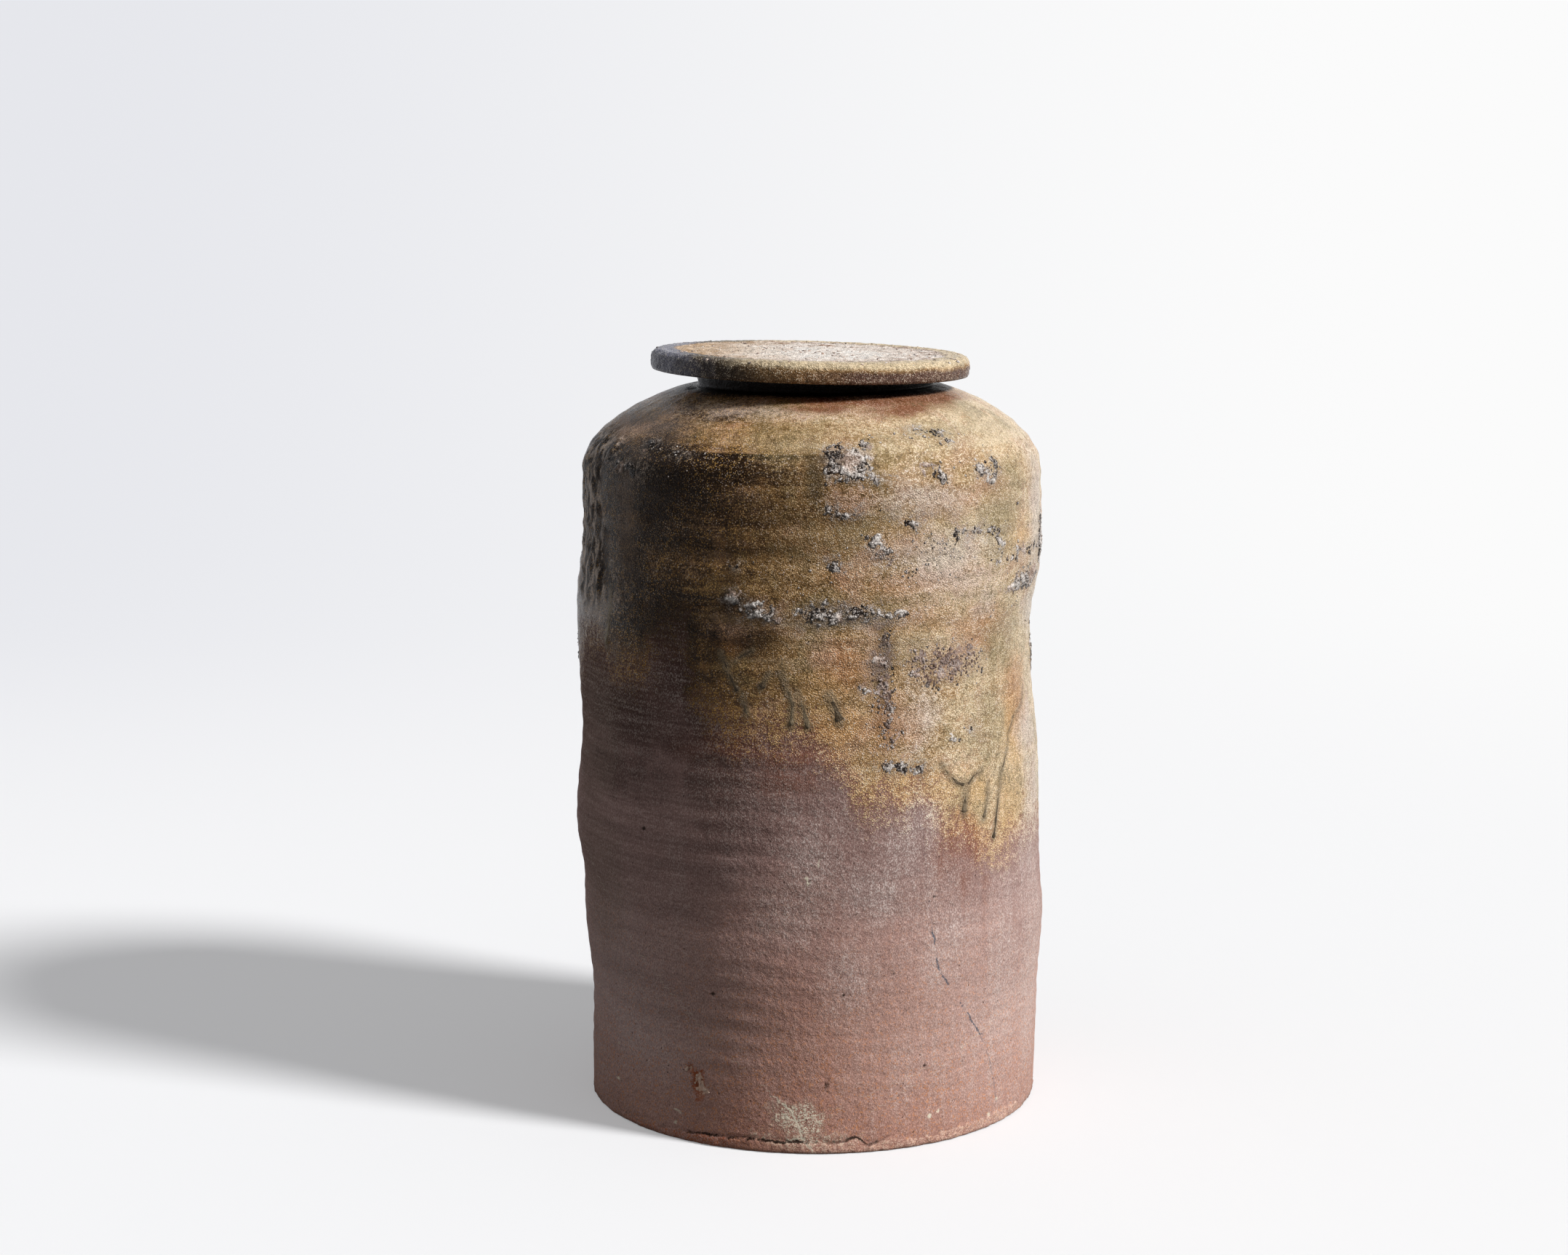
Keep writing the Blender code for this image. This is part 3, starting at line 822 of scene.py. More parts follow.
def make_ash_crusts():
    """Fly ash and charcoal that stuck to the glaze, merged in scabs and as loose grains."""
    parts = [*(merged_crust(*side) for side in SIDES), loose_grains()]
    starts = np.cumsum([0] + [len(points) for points, _, _ in parts])
    faces = [face for (_, part, _), start in zip(parts, starts) for face in (part + start).tolist()]
    marks = {name: np.concatenate([part[name] for _, _, part in parts]) for name in parts[0][2]}
    points = np.concatenate([points for points, _, _ in parts])
    crust = piece("ash_crusts", boxed(points), faces, kiln_ash_crust(), marks)
    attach(crust, "jar")
    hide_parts("jar_body")


RUN_STEP = 0.9 * MM
RUN_SIDES = 7
LEAST_RUN = 0.3 * MM
BEAD_HEIGHT = 0.55 * MM


def run_skin(turn, drop, width, bead, pixels):
    """One run as a grid of rings: across its top from side to side, and one point sunk in the wall."""
    line = [at_pixel(*pixel) for pixel in pixels]
    start = line[0][0]
    flat = np.array([(float(from_angle(angle, start)), height) for angle, height in line])
    steps = np.concatenate([[0], np.cumsum(np.linalg.norm(np.diff(flat, axis=0), axis=1))])
    length = steps[-1]
    at = np.linspace(0, length, max(int(length / RUN_STEP), 6))
    angles = start + np.interp(at, steps, flat[:, 0]) / MAP_RADIUS + turn
    heights = np.interp(at, steps, flat[:, 1]) + drop
    uneven = np.array([noise.fractal((angle * 30 + width, height / (5 * MM), turn), 1.0, 2.0, 2)
                       for angle, height in zip(angles, heights)])
    half = 0.5 * width * PIXEL_SIZE * (0.75 + 0.5 * uneven)
    half = np.maximum(half, LEAST_RUN) * soft_step(at, -1.0 * MM, 4.0 * MM)
    lift = bpy.context.scene.stoneware_sizes.run_height * (0.25 + 0.75 * at / length)
    lift = lift * np.minimum(1, half / (1.0 * MM))
    if bead:
        swell = np.exp(-((at - length + 1.2 * MM) / (1.6 * MM)) ** 2)
        half += 0.5 * bead * PIXEL_SIZE * 0.6 * swell
        lift += BEAD_HEIGHT * swell
    ends = np.sqrt(np.clip((length - at) / (1.0 * MM), 0, 1))
    half, lift = half * ends, lift * ends
    ahead, climb = np.gradient(angles) * MAP_RADIUS, np.gradient(heights)
    size = np.hypot(ahead, climb)
    ring = []
    for share in np.linspace(-1, 1, RUN_SIDES):
        here, facing = on_wall(angles - share * half * climb / size / MAP_RADIUS,
                               heights + share * half * ahead / size)
        ring.append(here + facing * (lift * (1 - share ** 2) - 0.12 * MM)[:, None])
    under, facing = on_wall(angles, heights)
    ring.append(under - facing * 0.6 * MM)
    return np.stack(ring, axis=1)


def make_glaze_runs():
    """Threads of melted ash, each ending where it froze, some with a bead."""
    tops = np.append(1 - np.abs(np.linspace(-1, 1, RUN_SIDES)), 0.0)
    points, faces, middles, palenesses = [], [], [], []
    start = 0
    for turn, drop in SIDES:
        for width, bead, paleness, *pixels in RUNS:
            grid = run_skin(turn, drop, width, bead, pixels)
            ids = start + np.arange(grid.size // 3).reshape(grid.shape[:2])
            faces += [*bands(ids), ids[0][::-1].tolist(), ids[-1].tolist()]
            points.append(grid.reshape(-1, 3))
            middles.append(np.tile(tops, len(grid)))
            palenesses.append(np.full(ids.size, paleness))
            start += ids.size
    runs = piece("ash_runs", boxed(np.concatenate(points)), faces, glassy_ash_run(),
                 {"tops": np.concatenate(middles), "paleness": np.concatenate(palenesses)})
    bm = bmesh.new()
    bm.from_mesh(runs.data)
    bmesh.ops.recalc_face_normals(bm, faces=bm.faces)
    bm.to_mesh(runs.data)
    bm.free()
    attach(runs, "jar")
    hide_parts("jar_body")


LID_COLUMNS = 384
LID_SPACING = ((0, 3.0), (10, 1.4), (2000, 1.4))
LID_BAND = 13 * MM
LID_TURNING = 7 * MM
LID_CRUMB_SEED = 5
LID_CRUMBS, LID_CLUMPS, LID_CLUMP = 260, 9, 7
LEAST_CRUMB, LARGEST_CRUMB = 0.3 * MM, 0.85 * MM


@functools.cache
def lid_skin():
    """The disc as a fine grid of rings round its own axis, from the middle of its top to its ring."""
    rings, centre = turned_rings("lid", LID_LEAN)
    rings = rings[::-1]
    rings = np.concatenate([rings[:1] * np.array([0.02, 0.02, 1.0]), rings])
    points, _, _ = fine_rings(rings, LID_SPACING, LID_COLUMNS)
    facing = -outward(points)
    radius = np.linalg.norm(points[:, :, :2], axis=2)
    height = points[:, :, 2]
    top = soft_step(height, 0.5 * height.max(), height.max())
    rough = lumps(points, 4 * MM, 4, shift=2.0)
    broad = lumps(points, 22 * MM, 3, shift=9.0)
    crumbly = lumps(points, 2.6 * MM, 3, shift=15.0)
    rim = radius.max()
    band_edge = rim - LID_BAND + 1.5 * MM * broad
    disc = top * soft_step(radius, band_edge + 1.2 * MM, band_edge - 1.2 * MM)
    relief = 0.12 * MM * rough + 0.1 * MM * broad + 0.2 * MM * crumbly
    relief += disc * (0.45 * MM * rough + 0.25 * MM * crumbly - 0.15 * MM)
    relief += 0.2 * MM * top * np.sin(FULL_TURN * radius / LID_TURNING) * (1 - 0.5 * disc)
    relief += soft_step(radius, rim - 6 * MM, rim - 2 * MM) * 0.35 * MM * crumbly
    relief *= soft_step(height, -0.2 * MM, 1.5 * MM)
    points = points + facing * relief[:, :, None]
    down = np.array(Matrix.Rotation(LID_LEAN, 3, "Y")).T
    marks = {"disc": disc, "radius": radius, "rise": points[:, :, 2]}
    return SimpleNamespace(points=points @ down + centre, facing=facing @ down, top=top, marks=marks)


def make_lid():
    """The thrown disc: rough pale top, granular rounded edge and the ring that drops into the mouth."""
    skin = lid_skin()
    points = skin.points.reshape(-1, 3)
    ids = np.arange(len(points)).reshape(-1, LID_COLUMNS)
    faces = [face for low, high in zip(ids, ids[1:]) for face in band(high, low)]
    faces += [ids[0].tolist(), ids[-1][::-1].tolist()]
    lid = piece("stoneware_lid", boxed(points), faces, ash_glazed_lid(), skin.marks)
    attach(lid, "lid")
    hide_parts("lid")


def make_lid_crumbs():
    """Crumbs of ash and charcoal on the disc and along its edge, single and in clumps."""
    skin = lid_skin()
    rng = np.random.default_rng(LID_CRUMB_SEED)
    spots = np.argwhere(skin.top[:-1] > 0.6)
    spots = spots[rng.choice(len(spots), LID_CRUMBS, replace=False)]
    clumps = [spots[rng.choice(len(spots), 1)] + rng.integers(-2, 3, (LID_CLUMP, 2))
              for _ in range(LID_CLUMPS)]
    row, column = np.concatenate([spots, *clumps]).T
    row, column = np.clip(row, 2, len(skin.top) - 2), column % LID_COLUMNS
    radii = rng.uniform(LEAST_CRUMB, LARGEST_CRUMB, len(row))
    points, faces, tops = sunk_grains(skin.points[row, column], skin.facing[row, column], radii, rng)
    each = len(points) // len(radii)
    marks = {"tops": tops, "shade": np.repeat(rng.normal(0.35, 0.35, len(radii)), each),
             "warm": np.repeat(rng.uniform(0, 0.6, len(radii)), each), "brown": np.zeros(len(points))}
    scurf = piece("lid_crumbs", boxed(points), faces.tolist(), kiln_ash_crust(), marks)
    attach(scurf, "lid")
    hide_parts("lid")


# Materials

def weighed(tree, total, *terms):
    """A measure with others added to it, each as many times as its weight says."""
    for value, weight in terms:
        total = add(tree, "Math", value, weight, total, operation="MULTIPLY_ADD")
    return total


def tinted(tree, colour, *tints):
    """A colour with paints over it: each has its strength, and the ranges that measures reach there."""
    for paint, strength, (value, low, high), *others in tints:
        share = add(tree, "MapRange", value, low, high, 0.0, strength)
        for other in others:
            share = add(tree, "Math", share, add(tree, "MapRange", *other), operation="MULTIPLY")
        colour = add(tree, "Mix", share, colour, paint, data_type="RGBA")
    return colour


def toned(tree, tone, *stops):
    """A tone as a colour between its stops, from the lowest one up."""
    colour = add(tree, "ValToRGB", tone)
    ramp = colour.node.color_ramp
    for at, _ in stops[1:-1]:
        ramp.elements.new(at)
    for element, (at, paint) in zip(ramp.elements, stops):
        element.position, element.color = at, (*paint, 1)
    return colour


def where(on, mark, reach, soft, strength=1.0):
    """From 0 to its strength inside a mark, whose edge is frayed and softened by so many mm."""
    edge = add(on.tree, "Attribute", attribute_name=mark, out="Fac")
    frayed = weighed(on.tree, edge, (on.fray, reach * MM))
    return add(on.tree, "MapRange", frayed, -soft * MM, soft * MM, 0.0, strength,
               interpolation_type="SMOOTHSTEP")


def painted(on, colour, *layers):
    """A colour with marks over it: each with its reach and softness in mm, its paint and strength."""
    for mark, reach, soft, paint, strength in layers:
        share = where(on, mark, reach, soft, strength)
        colour = add(on.tree, "Mix", share, colour, paint, data_type="RGBA")
    return colour


def grain_lit_and_shaded(tree, colour, grain, depth, tips, tip_share):
    """A colour darkened in the pits between its grains and lightened on them, as painted shade and light,
    with a paint on their tips.
    """
    level = add(tree, "MapRange", grain, 0.0, 1.0, 1 - depth, 1 + depth)
    colour = add(tree, "Mix", 1.0, colour, level, data_type="RGBA", blend_type="MULTIPLY")
    height = add(tree, "MapRange", grain, 0.58, 0.8)
    height = add(tree, "Math", height, tip_share, operation="MULTIPLY")
    return add(tree, "Mix", height, colour, tips, data_type="RGBA")


def drawn_noise(on, stretch, size, detail, roughness=0.5):
    """Noise in lumps of one size that are drawn out: the smaller a stretch, the longer they are."""
    place = add(on.tree, "Mapping", named={"Vector": on.place, "Scale": stretch})
    return add(on.tree, "TexNoise", place, 1 / size, detail, roughness)


def new_surface(name):
    """A material with its tree, the place in the piece, and a short way to add its nodes."""
    material = bpy.data.materials.new(name)
    material.use_nodes = True
    tree = material.node_tree
    return SimpleNamespace(material=material, tree=tree, place=add(tree, "TexCoord", out="Object"))


def surfaced(on, colour, roughness, specular, rise):
    """Give a material its colour, its gloss and the height of its fine relief, and give it back."""
    shader = on.tree.nodes["Principled BSDF"]
    bump = add(on.tree, "Bump", named={"Height": rise, "Distance": 1.0})
    for name, value in (("Base Color", colour), ("Roughness", roughness),
                        ("Specular IOR Level", specular), ("Normal", bump)):
        plug(on.tree, shader.inputs[name], value)
    return on.material


def fired_surface(name, grain_size):
    """A material with the noises that the fired surfaces share, from the pot's size to its grit's."""
    on = new_surface(name)
    node = functools.partial(add, on.tree)
    for noise_name, size, detail, roughness, distortion in (
            ("broad", 60 * MM, 3.0, 0.5, 0.0), ("hue", 24 * MM, 5.0, 0.5, 0.6),
            ("middling", 12 * MM, 5.0, 0.65, 0.0), ("small", 3.2 * MM, 3.0, 0.6, 0.0),
            ("grit", 0.55 * grain_size, 1.0, 0.5, 0.0)):
        setattr(on, noise_name, node("TexNoise", on.place, 1 / size, detail, roughness,
                                     named={"Distortion": distortion}))
    grains = node("TexVoronoi", on.place, 1 / grain_size, out="Color")
    on.cell = node("SeparateColor", grains, out="Red")
    on.other = on.cell.node.outputs["Green"]
    on.dome = node("MapRange", grains.node.outputs["Distance"], 0.72, 0.1,
                   interpolation_type="SMOOTHSTEP")
    # Grain runs from 0 in the pits between the domed grains of ash to 1 on the palest of them
    on.grain = weighed(on.tree, -0.27, (on.dome, 0.42), (on.cell, 0.34), (on.small, 0.85))
    # Sand is the same for the finer grit of the bare clay, which the potter's hand drew upright
    sand = drawn_noise(on, (1.0, 1.0, 0.55), 0.7 * grain_size, 1.5)
    on.sand = weighed(on.tree, -1.02, (sand, 2.4), (on.cell, 0.16), (on.small, 0.5))
    # Fray has its middle at 0, and frays the edges of marks in shares of their reach
    on.fray = weighed(on.tree, -1.75, (on.middling, 1.6), (on.small, 1.4), (on.cell, 0.5))
    return on


def bare_clay(on, fire, limit, look):
    """Unglazed stoneware: grey-mauve, redder at the foot, dark below the ash, pale towards the flames and
    the lamp as partly painted light.
    """
    tree = on.tree
    node = functools.partial(add, tree)
    height = node("SeparateXYZ", on.place, out="Z")
    level = weighed(tree, height, (on.broad, 90 * MM))
    # Redder and pinker towards the flames and the lamp, partly the clay's flashing and partly painted light
    clay = tinted(tree, look.clay_grey,
                  (look.clay_red, 1.0, (fire, 0.25, 0.7)), (look.clay_pink, 0.9, (fire, 0.65, 1.0)),
                  (look.clay_mauve, 0.8, (level, 110 * MM, 190 * MM)),
                  (look.clay_foot, 0.6, (level, 105 * MM, 35 * MM)))
    # Maroon just below the ash, less of it towards the flames and the lamp, partly as painted shade
    near = node("MapRange", limit, -70 * MM, -4 * MM, 0.0, 0.85, interpolation_type="SMOOTHSTEP")
    near = node("Math", near, node("MapRange", fire, 0.97, 0.5), operation="MULTIPLY")
    clay = node("Mix", near, clay, look.clay_maroon, data_type="RGBA")
    # Iron came up below the ash
    clay = tinted(tree, clay, (look.rust, 0.6, (limit, -16 * MM, 4 * MM), (fire, 0.4, 0.7)))
    # Rust, dark patches, painted shade in level bands under the rings' bulges, and a painted sheen along
    # the left outline
    clay = painted(on, clay, ("rust", 9, 7, look.rust, 0.6), ("dark", 10, 9, look.dark_clay_and_shade, 0.5),
                   ("smear", 3, 6, look.dark_clay_and_shade, 0.3), ("veil", 8, 12, look.veil, 0.35))
    # On the left a wet hand drew fine level lines, and ash caught on them
    lines = drawn_noise(on, (0.05, 0.05, 1.0), 1.6 * MM, 3.0)
    lines = node("MapRange", lines, 0.3, 0.7, -0.22, 0.22)
    for span in ((level, 120 * MM, 200 * MM, 0.3), (fire, 0.62, 0.4)):
        lines = node("Math", lines, node("MapRange", *span), operation="MULTIPLY")
    sand = node("Math", on.sand, lines, operation="ADD")
    # A bloom of ash frosts the tips of the grit, in upright streaks and in patches; it thickens towards the
    # flames and the lamp, partly as painted sheen
    streaks = drawn_noise(on, (1.0, 1.0, 0.1), 5 * MM, 4.0)
    streaks = node("MapRange", streaks, 0.42, 0.7, 0.0, 0.5)
    bloom = node("MapRange", weighed(tree, fire, (on.broad, 1.0)), 0.8, 1.45)
    bloom = node("Math", streaks, bloom, operation="MULTIPLY")
    bloom = node("Math", bloom, where(on, "pale", 14, 14, 0.65), operation="ADD")
    hazy = node("Math", bloom, 0.2, operation="MULTIPLY")
    clay = node("Mix", hazy, clay, look.haze, data_type="RGBA")
    tips = weighed(tree, 0.1, (bloom, 0.6), (near, 0.25))
    # Painted shade in the pits of the grit and painted light on its grains, with the bloom on their tips
    clay = grain_lit_and_shaded(tree, clay, sand, 0.3, look.haze, tips)
    # Grains of iron and of sand in the clay, orange and black
    return tinted(tree, clay, (look.spark, 0.7, (on.cell, 0.86, 0.91), (level, 190 * MM, 80 * MM)),
                  (look.black_ash_and_shade, 0.6, (on.cell, 0.004, 0.002)))


def melted_ash(on, fire, limit, look):
    """Fly ash melted to a granular glaze: dark olive and gold, in stripes, paler towards the flames and the
    lamp, partly as painted light.
    """
    tree = on.tree
    node = functools.partial(add, tree)
    # The ash's tone rises towards the flames and the lamp and sinks away from them, partly as painted light
    # and shade
    away = node("MapRange", fire, 1.0, 0.45, 0.2, 1.0)
    tone = node("MapRange", fire, 0.3, 0.62, -0.7, -0.27)
    tone = node("Math", tone, node("MapRange", fire, 0.62, 0.95, 0.0, 0.42), operation="ADD")
    tone = weighed(tree, tone, (on.middling, 0.8), (on.broad, 0.55), (on.cell, 0.24))
    # Level bands, strongest away from the lamp, partly painted shade along the throwing rings
    bands = drawn_noise(on, (0.06, 0.06, 1.0), 4 * MM, 5.0, 0.6)
    bands = node("MapRange", bands, 0.0, 1.0, -0.58, 0.5)
    bands = node("Math", bands, away, operation="MULTIPLY")
    tone = node("Math", tone, bands, operation="ADD")
    # Painted shade: the ash is darkened below the edge of the shoulder, most on the side away from the lamp
    under = node("Attribute", attribute_name="under_edge", out="Fac")
    under = weighed(tree, under, (on.grain, 1.2 * MM))
    shade = node("MapRange", under, 0.1 * MM, 1.1 * MM, -0.18, 0.5)
    for share in (node("MapRange", under, 42 * MM, 4 * MM), away):
        shade = node("Math", shade, share, operation="MULTIPLY")
    tone = node("Math", tone, shade, operation="SUBTRACT")
    ash = toned(tree, tone, (0.0, look.ash_dark), (0.22, look.ash_brown), (0.48, look.ash_olive),
                (0.72, look.ash_gold), (0.98, look.ash_beige))
    # The golden lower edge is brighter towards the flames and the lamp, partly as painted light
    bright = tinted(tree, look.ash_ochre, (look.ash_bright, 1.0, (fire, 0.42, 0.8)))
    thick = (tone, 0.15, 0.55, 0.0, 0.45)
    ash = tinted(tree, ash, (bright, 0.75, (limit, 22 * MM, 0.0)),
                 (look.ash_buff, 1.0, (on.hue, 0.53, 0.63), thick),
                 (look.ash_green, 1.0, (on.hue, 0.47, 0.37), thick),
                 (look.ash_orange, 1.0, (on.middling, 0.55, 0.68), thick))
    # The rough strip on the left is ridged upright, near black between its ridges and pale on them, partly
    # as painted glints
    ridges = drawn_noise(on, (1.0, 1.0, 0.5), 5 * MM, 4.0, 0.6)
    ridges = tinted(tree, look.black_ash_and_shade, (look.strip_grey_and_glint, 1.0, (ridges, 0.48, 0.58)))
    # Patches over the ash; the smooth ash along the left outline is partly a painted sheen
    ash = painted(
        on, ash, ("rust", 10, 6, look.ash_orange, 0.6), ("gold", 9, 6, bright, 0.5),
        ("bare", 10, 6, look.ash_buff, 0.55), ("olive", 10, 8, look.ash_green, 0.5),
        ("pale", 10, 9, look.haze, 0.5), ("gloss", 6, 8, look.ash_green, 0.4),
        ("dark", 10, 7, look.black_ash_and_shade, 0.85), ("veil", 6, 7, look.veil, 0.55),
        ("strip", 6, 6, ridges, 0.95), ("red", 6, 4, look.red_glaze, 0.85))
    # Painted shade: the neck under the lid is darkened to near black
    neck = node("Attribute", attribute_name="neck", out="Fac")
    neck = node("MapRange", neck, -8 * MM, -2 * MM)
    ash = node("Mix", neck, ash, look.black_ash_and_shade, data_type="RGBA")
    # Painted glints: gold and pale tips on the grains, with some bloom, left out where the ash is dark, on
    # the left outline, on the red glaze and on the shaded neck; the pits get painted shade
    tips = tinted(tree, look.ash_glint_gold, (look.ash_glint_pale, 1.0, (fire, 0.5, 0.85)),
                  (look.haze, 0.8, (on.other, 0.62, 0.7)))
    glint_and_bloom_share = node("MapRange", on.hue, 0.38, 0.6, 0.5, 0.9)
    dimmed = where(on, "dark", 8, 8, 0.75)
    for matt in (where(on, "veil", 7, 8, 0.8), neck, where(on, "red", 6, 4, 0.6)):
        dimmed = node("Math", dimmed, matt, operation="MAXIMUM")
    clean = node("Math", 1.0, dimmed, operation="SUBTRACT")
    glint_and_bloom_share = node("Math", glint_and_bloom_share, clean, operation="MULTIPLY")
    return grain_lit_and_shaded(tree, ash, on.grain, 0.72, tips, glint_and_bloom_share)


def scarred(on, colour, fire, look):
    """Scars on the clay: stains, pits, a chip, cracks and the torn lip of the foot."""
    tree = on.tree
    node = functools.partial(add, tree)
    cream = tinted(tree, colour, (look.stain, 1.0, (on.grain, 0.44, 0.56)))
    broken = tinted(tree, look.rust, (look.broken_clay, 1.0, (on.small, 0.4, 0.48)))
    colour = painted(
        on, colour, ("stain", 6, 4, look.stain_dark, 0.35), ("stain", 4, 3, cream, 0.9),
        ("lime", 0.8, 0.4, look.stain, 0.9), ("pit", 0.5, 0.5, look.black_ash_and_shade, 0.9),
        ("chip", 3, 1.2, look.chip_brown, 0.95), ("broken", 2, 0.6, broken, 0.95))
    for mark, paint, half_width, strength in LINE_MARKS:
        beside = node("Attribute", attribute_name=mark, out="Fac")
        jagged = weighed(tree, beside, (on.small, 2.6 * MM), (on.grit, 1.4 * MM))
        aside = node("Math", node("Math", jagged, -2.0 * MM, operation="ADD"), operation="ABSOLUTE")
        colour = tinted(tree, colour, (getattr(look, paint), strength,
                                       (aside, half_width, 0.4 * half_width), (on.middling, 0.44, 0.49)))
    lip = node("Attribute", attribute_name="lip", out="Fac")
    aside = node("Math", weighed(tree, lip, (on.small, 4.0 * MM)), -2.0 * MM, operation="ADD")
    # The torn lip pales towards the flames and the lamp, partly as painted light
    torn_clay = tinted(tree, look.chip_brown, (look.broken_clay, 1.0, (fire, 0.5, 0.7)))
    colour = tinted(tree, colour, (torn_clay, 0.75, (aside, -0.2 * MM, 1.2 * MM), (on.grain, 0.42, 0.66)))
    gash = node("Math", aside, operation="ABSOLUTE")
    gash = node("MapRange", gash, 1.1 * MM, 0.4 * MM, 0.0, 0.95)
    deep = node("Math", where(on, "gash", 4, 3, 0.75), 0.25, operation="ADD")
    for share in (node("MapRange", on.middling, 0.38, 0.48), deep):
        gash = node("Math", gash, share, operation="MULTIPLY")
    return node("Mix", gash, colour, look.black_ash_and_shade, data_type="RGBA")


def ash_glazed_stoneware():
    """Iron-bearing stoneware, thrown, wood fired without a glaze of its own.

    Fly ash melted onto its upper half into a granular olive and gold skin that glints. Below it the
    clay is bare: matt, mauve to red-brown, with fine grit and a pale bloom.
    """
    look, sizes = bpy.context.scene.stoneware_colours, bpy.context.scene.stoneware_sizes
    on = fired_surface("ash_glazed_stoneware", sizes.grain)
    tree = on.tree
    node = functools.partial(add, tree)
    fire, limit, run, hollow = (node("Attribute", attribute_name=name, out="Fac")
                                for name in ("fire", "above_limit", "run", "hollow"))
    limit = weighed(tree, limit, (on.fray, 8 * MM))
    stipple = weighed(tree, limit, (on.grain, 38 * MM))
    glazed = node("MapRange", stipple, 11 * MM, 28 * MM)
    colour = node("Mix", glazed, bare_clay(on, fire, limit, look), melted_ash(on, fire, limit, look),
                  data_type="RGBA")

    # Crusts stand on a clotted ground, and runs of ash have a dark edge round a clouded middle
    clot = tinted(tree, look.crust_dark, (look.crust_grey, 1.0, (on.grain, 0.2, 0.9)))
    colour = painted(on, colour, ("crust", 8, 4, clot, 0.55), ("scab", 12, 6, look.crust_brown, 0.35))
    run = weighed(tree, run, (on.small, 3.0 * MM))
    colour = tinted(tree, colour, (look.run_dark, 0.35, (run, -0.4 * MM, 2.2 * MM)),
                    (look.run_pale, 0.45, (run, 0.8 * MM, 2.6 * MM)))
    colour = scarred(on, colour, fire, look)
    hollow = node("Math", hollow, 0.8, operation="MULTIPLY")
    colour = node("Mix", hollow, colour, look.dark_clay_and_shade, data_type="RGBA")

    # The domed grains of the ash glint, and the dark patches, the smooth ash on the left, clay and the
    # ridged strip stay dull
    rough = node("MapRange", glazed, 0.0, 1.0, 0.8, 0.22)
    rough = weighed(tree, rough, (on.middling, 0.3))
    for mark in ("dark", "strip", "veil"):
        rough = node("Math", rough, where(on, mark, 6, 6, 0.2), operation="ADD")
    glossy = where(on, "gloss", 4, 5)
    rough = weighed(tree, rough, (glossy, -0.14))
    rough = node("Math", rough, -0.15, operation="ADD", use_clamp=True)
    smooth = weighed(tree, 1.0, (glossy, -0.75))
    relief = node("Math", glazed, sizes.ash_relief, operation="MULTIPLY")
    rise = node("Math", on.dome, relief, operation="MULTIPLY")
    rise = weighed(tree, rise, (on.grit, sizes.clay_relief), (on.small, 0.7 * MM))
    rise = node("Math", rise, smooth, operation="MULTIPLY")
    swell = node("MapRange", run, 0.8 * MM, 2.6 * MM, 0.0, 0.3 * MM)
    rise = node("Math", rise, swell, operation="ADD")
    return surfaced(on, colour, rough, 0.09, rise)


def kiln_ash_crust():
    """Half-melted fly ash and charcoal: glassy brown-grey lumps, some pale, with painted shade in their
    gaps and painted highlights on their tops.
    """
    look = bpy.context.scene.stoneware_colours
    on = new_surface("kiln_ash_crust")
    tree = on.tree
    node = functools.partial(add, tree)
    heaps = node("TexNoise", on.place, 1 / (6 * MM), 4.0)
    grains = node("TexVoronoi", on.place, 1 / (0.9 * MM), out="Distance")
    tops, shade, brown, warm = (node("Attribute", attribute_name=name, out="Fac")
                                for name in ("tops", "shade", "brown", "warm"))
    # Painted shade in the gaps between the grains and painted highlight where the crust stands highest,
    # over its own tone
    tone = weighed(tree, -0.78, (heaps, 1.9), (shade, 0.45), (grains, -0.8), (tops, 0.62))
    colour = toned(tree, tone, (0.0, look.black_ash_and_shade), (0.14, look.crust_dark), (0.5, look.crust_grey),
                   (0.95, look.crust_pale_and_glint))
    brown = node("Math", brown, 0.6, operation="MULTIPLY")
    for share, paint in ((brown, look.crust_brown), (warm, look.broken_clay)):
        colour = node("Mix", share, colour, paint, data_type="RGBA")
    rise = node("Math", grains, -0.4 * MM, operation="MULTIPLY")
    return surfaced(on, colour, 0.22, 0.22, rise)


def glassy_ash_run():
    """Ash that melted to glass and ran: from nearly black to clouded grey-olive, darker at its edges."""
    look = bpy.context.scene.stoneware_colours
    on = new_surface("glassy_ash_run")
    tree = on.tree
    node = functools.partial(add, tree)
    cloud = node("TexNoise", on.place, 1 / (4 * MM), 5.0, 0.7)
    grains = node("TexVoronoi", on.place, 1 / (0.8 * MM), out="Distance")
    middle, paleness = (node("Attribute", attribute_name=name, out="Fac") for name in ("tops", "paleness"))
    share = weighed(tree, -1.05, (cloud, 2.2), (middle, 0.25), (paleness, 0.7))
    share = node("Math", grains, -0.6, share, operation="MULTIPLY_ADD", use_clamp=True)
    colour = node("Mix", share, look.run_dark, look.run_pale, data_type="RGBA")
    rise = node("Math", grains, -0.2 * MM, operation="MULTIPLY")
    rise = weighed(tree, rise, (cloud, 0.8 * MM))
    return surfaced(on, colour, 0.25, 0.12, rise)


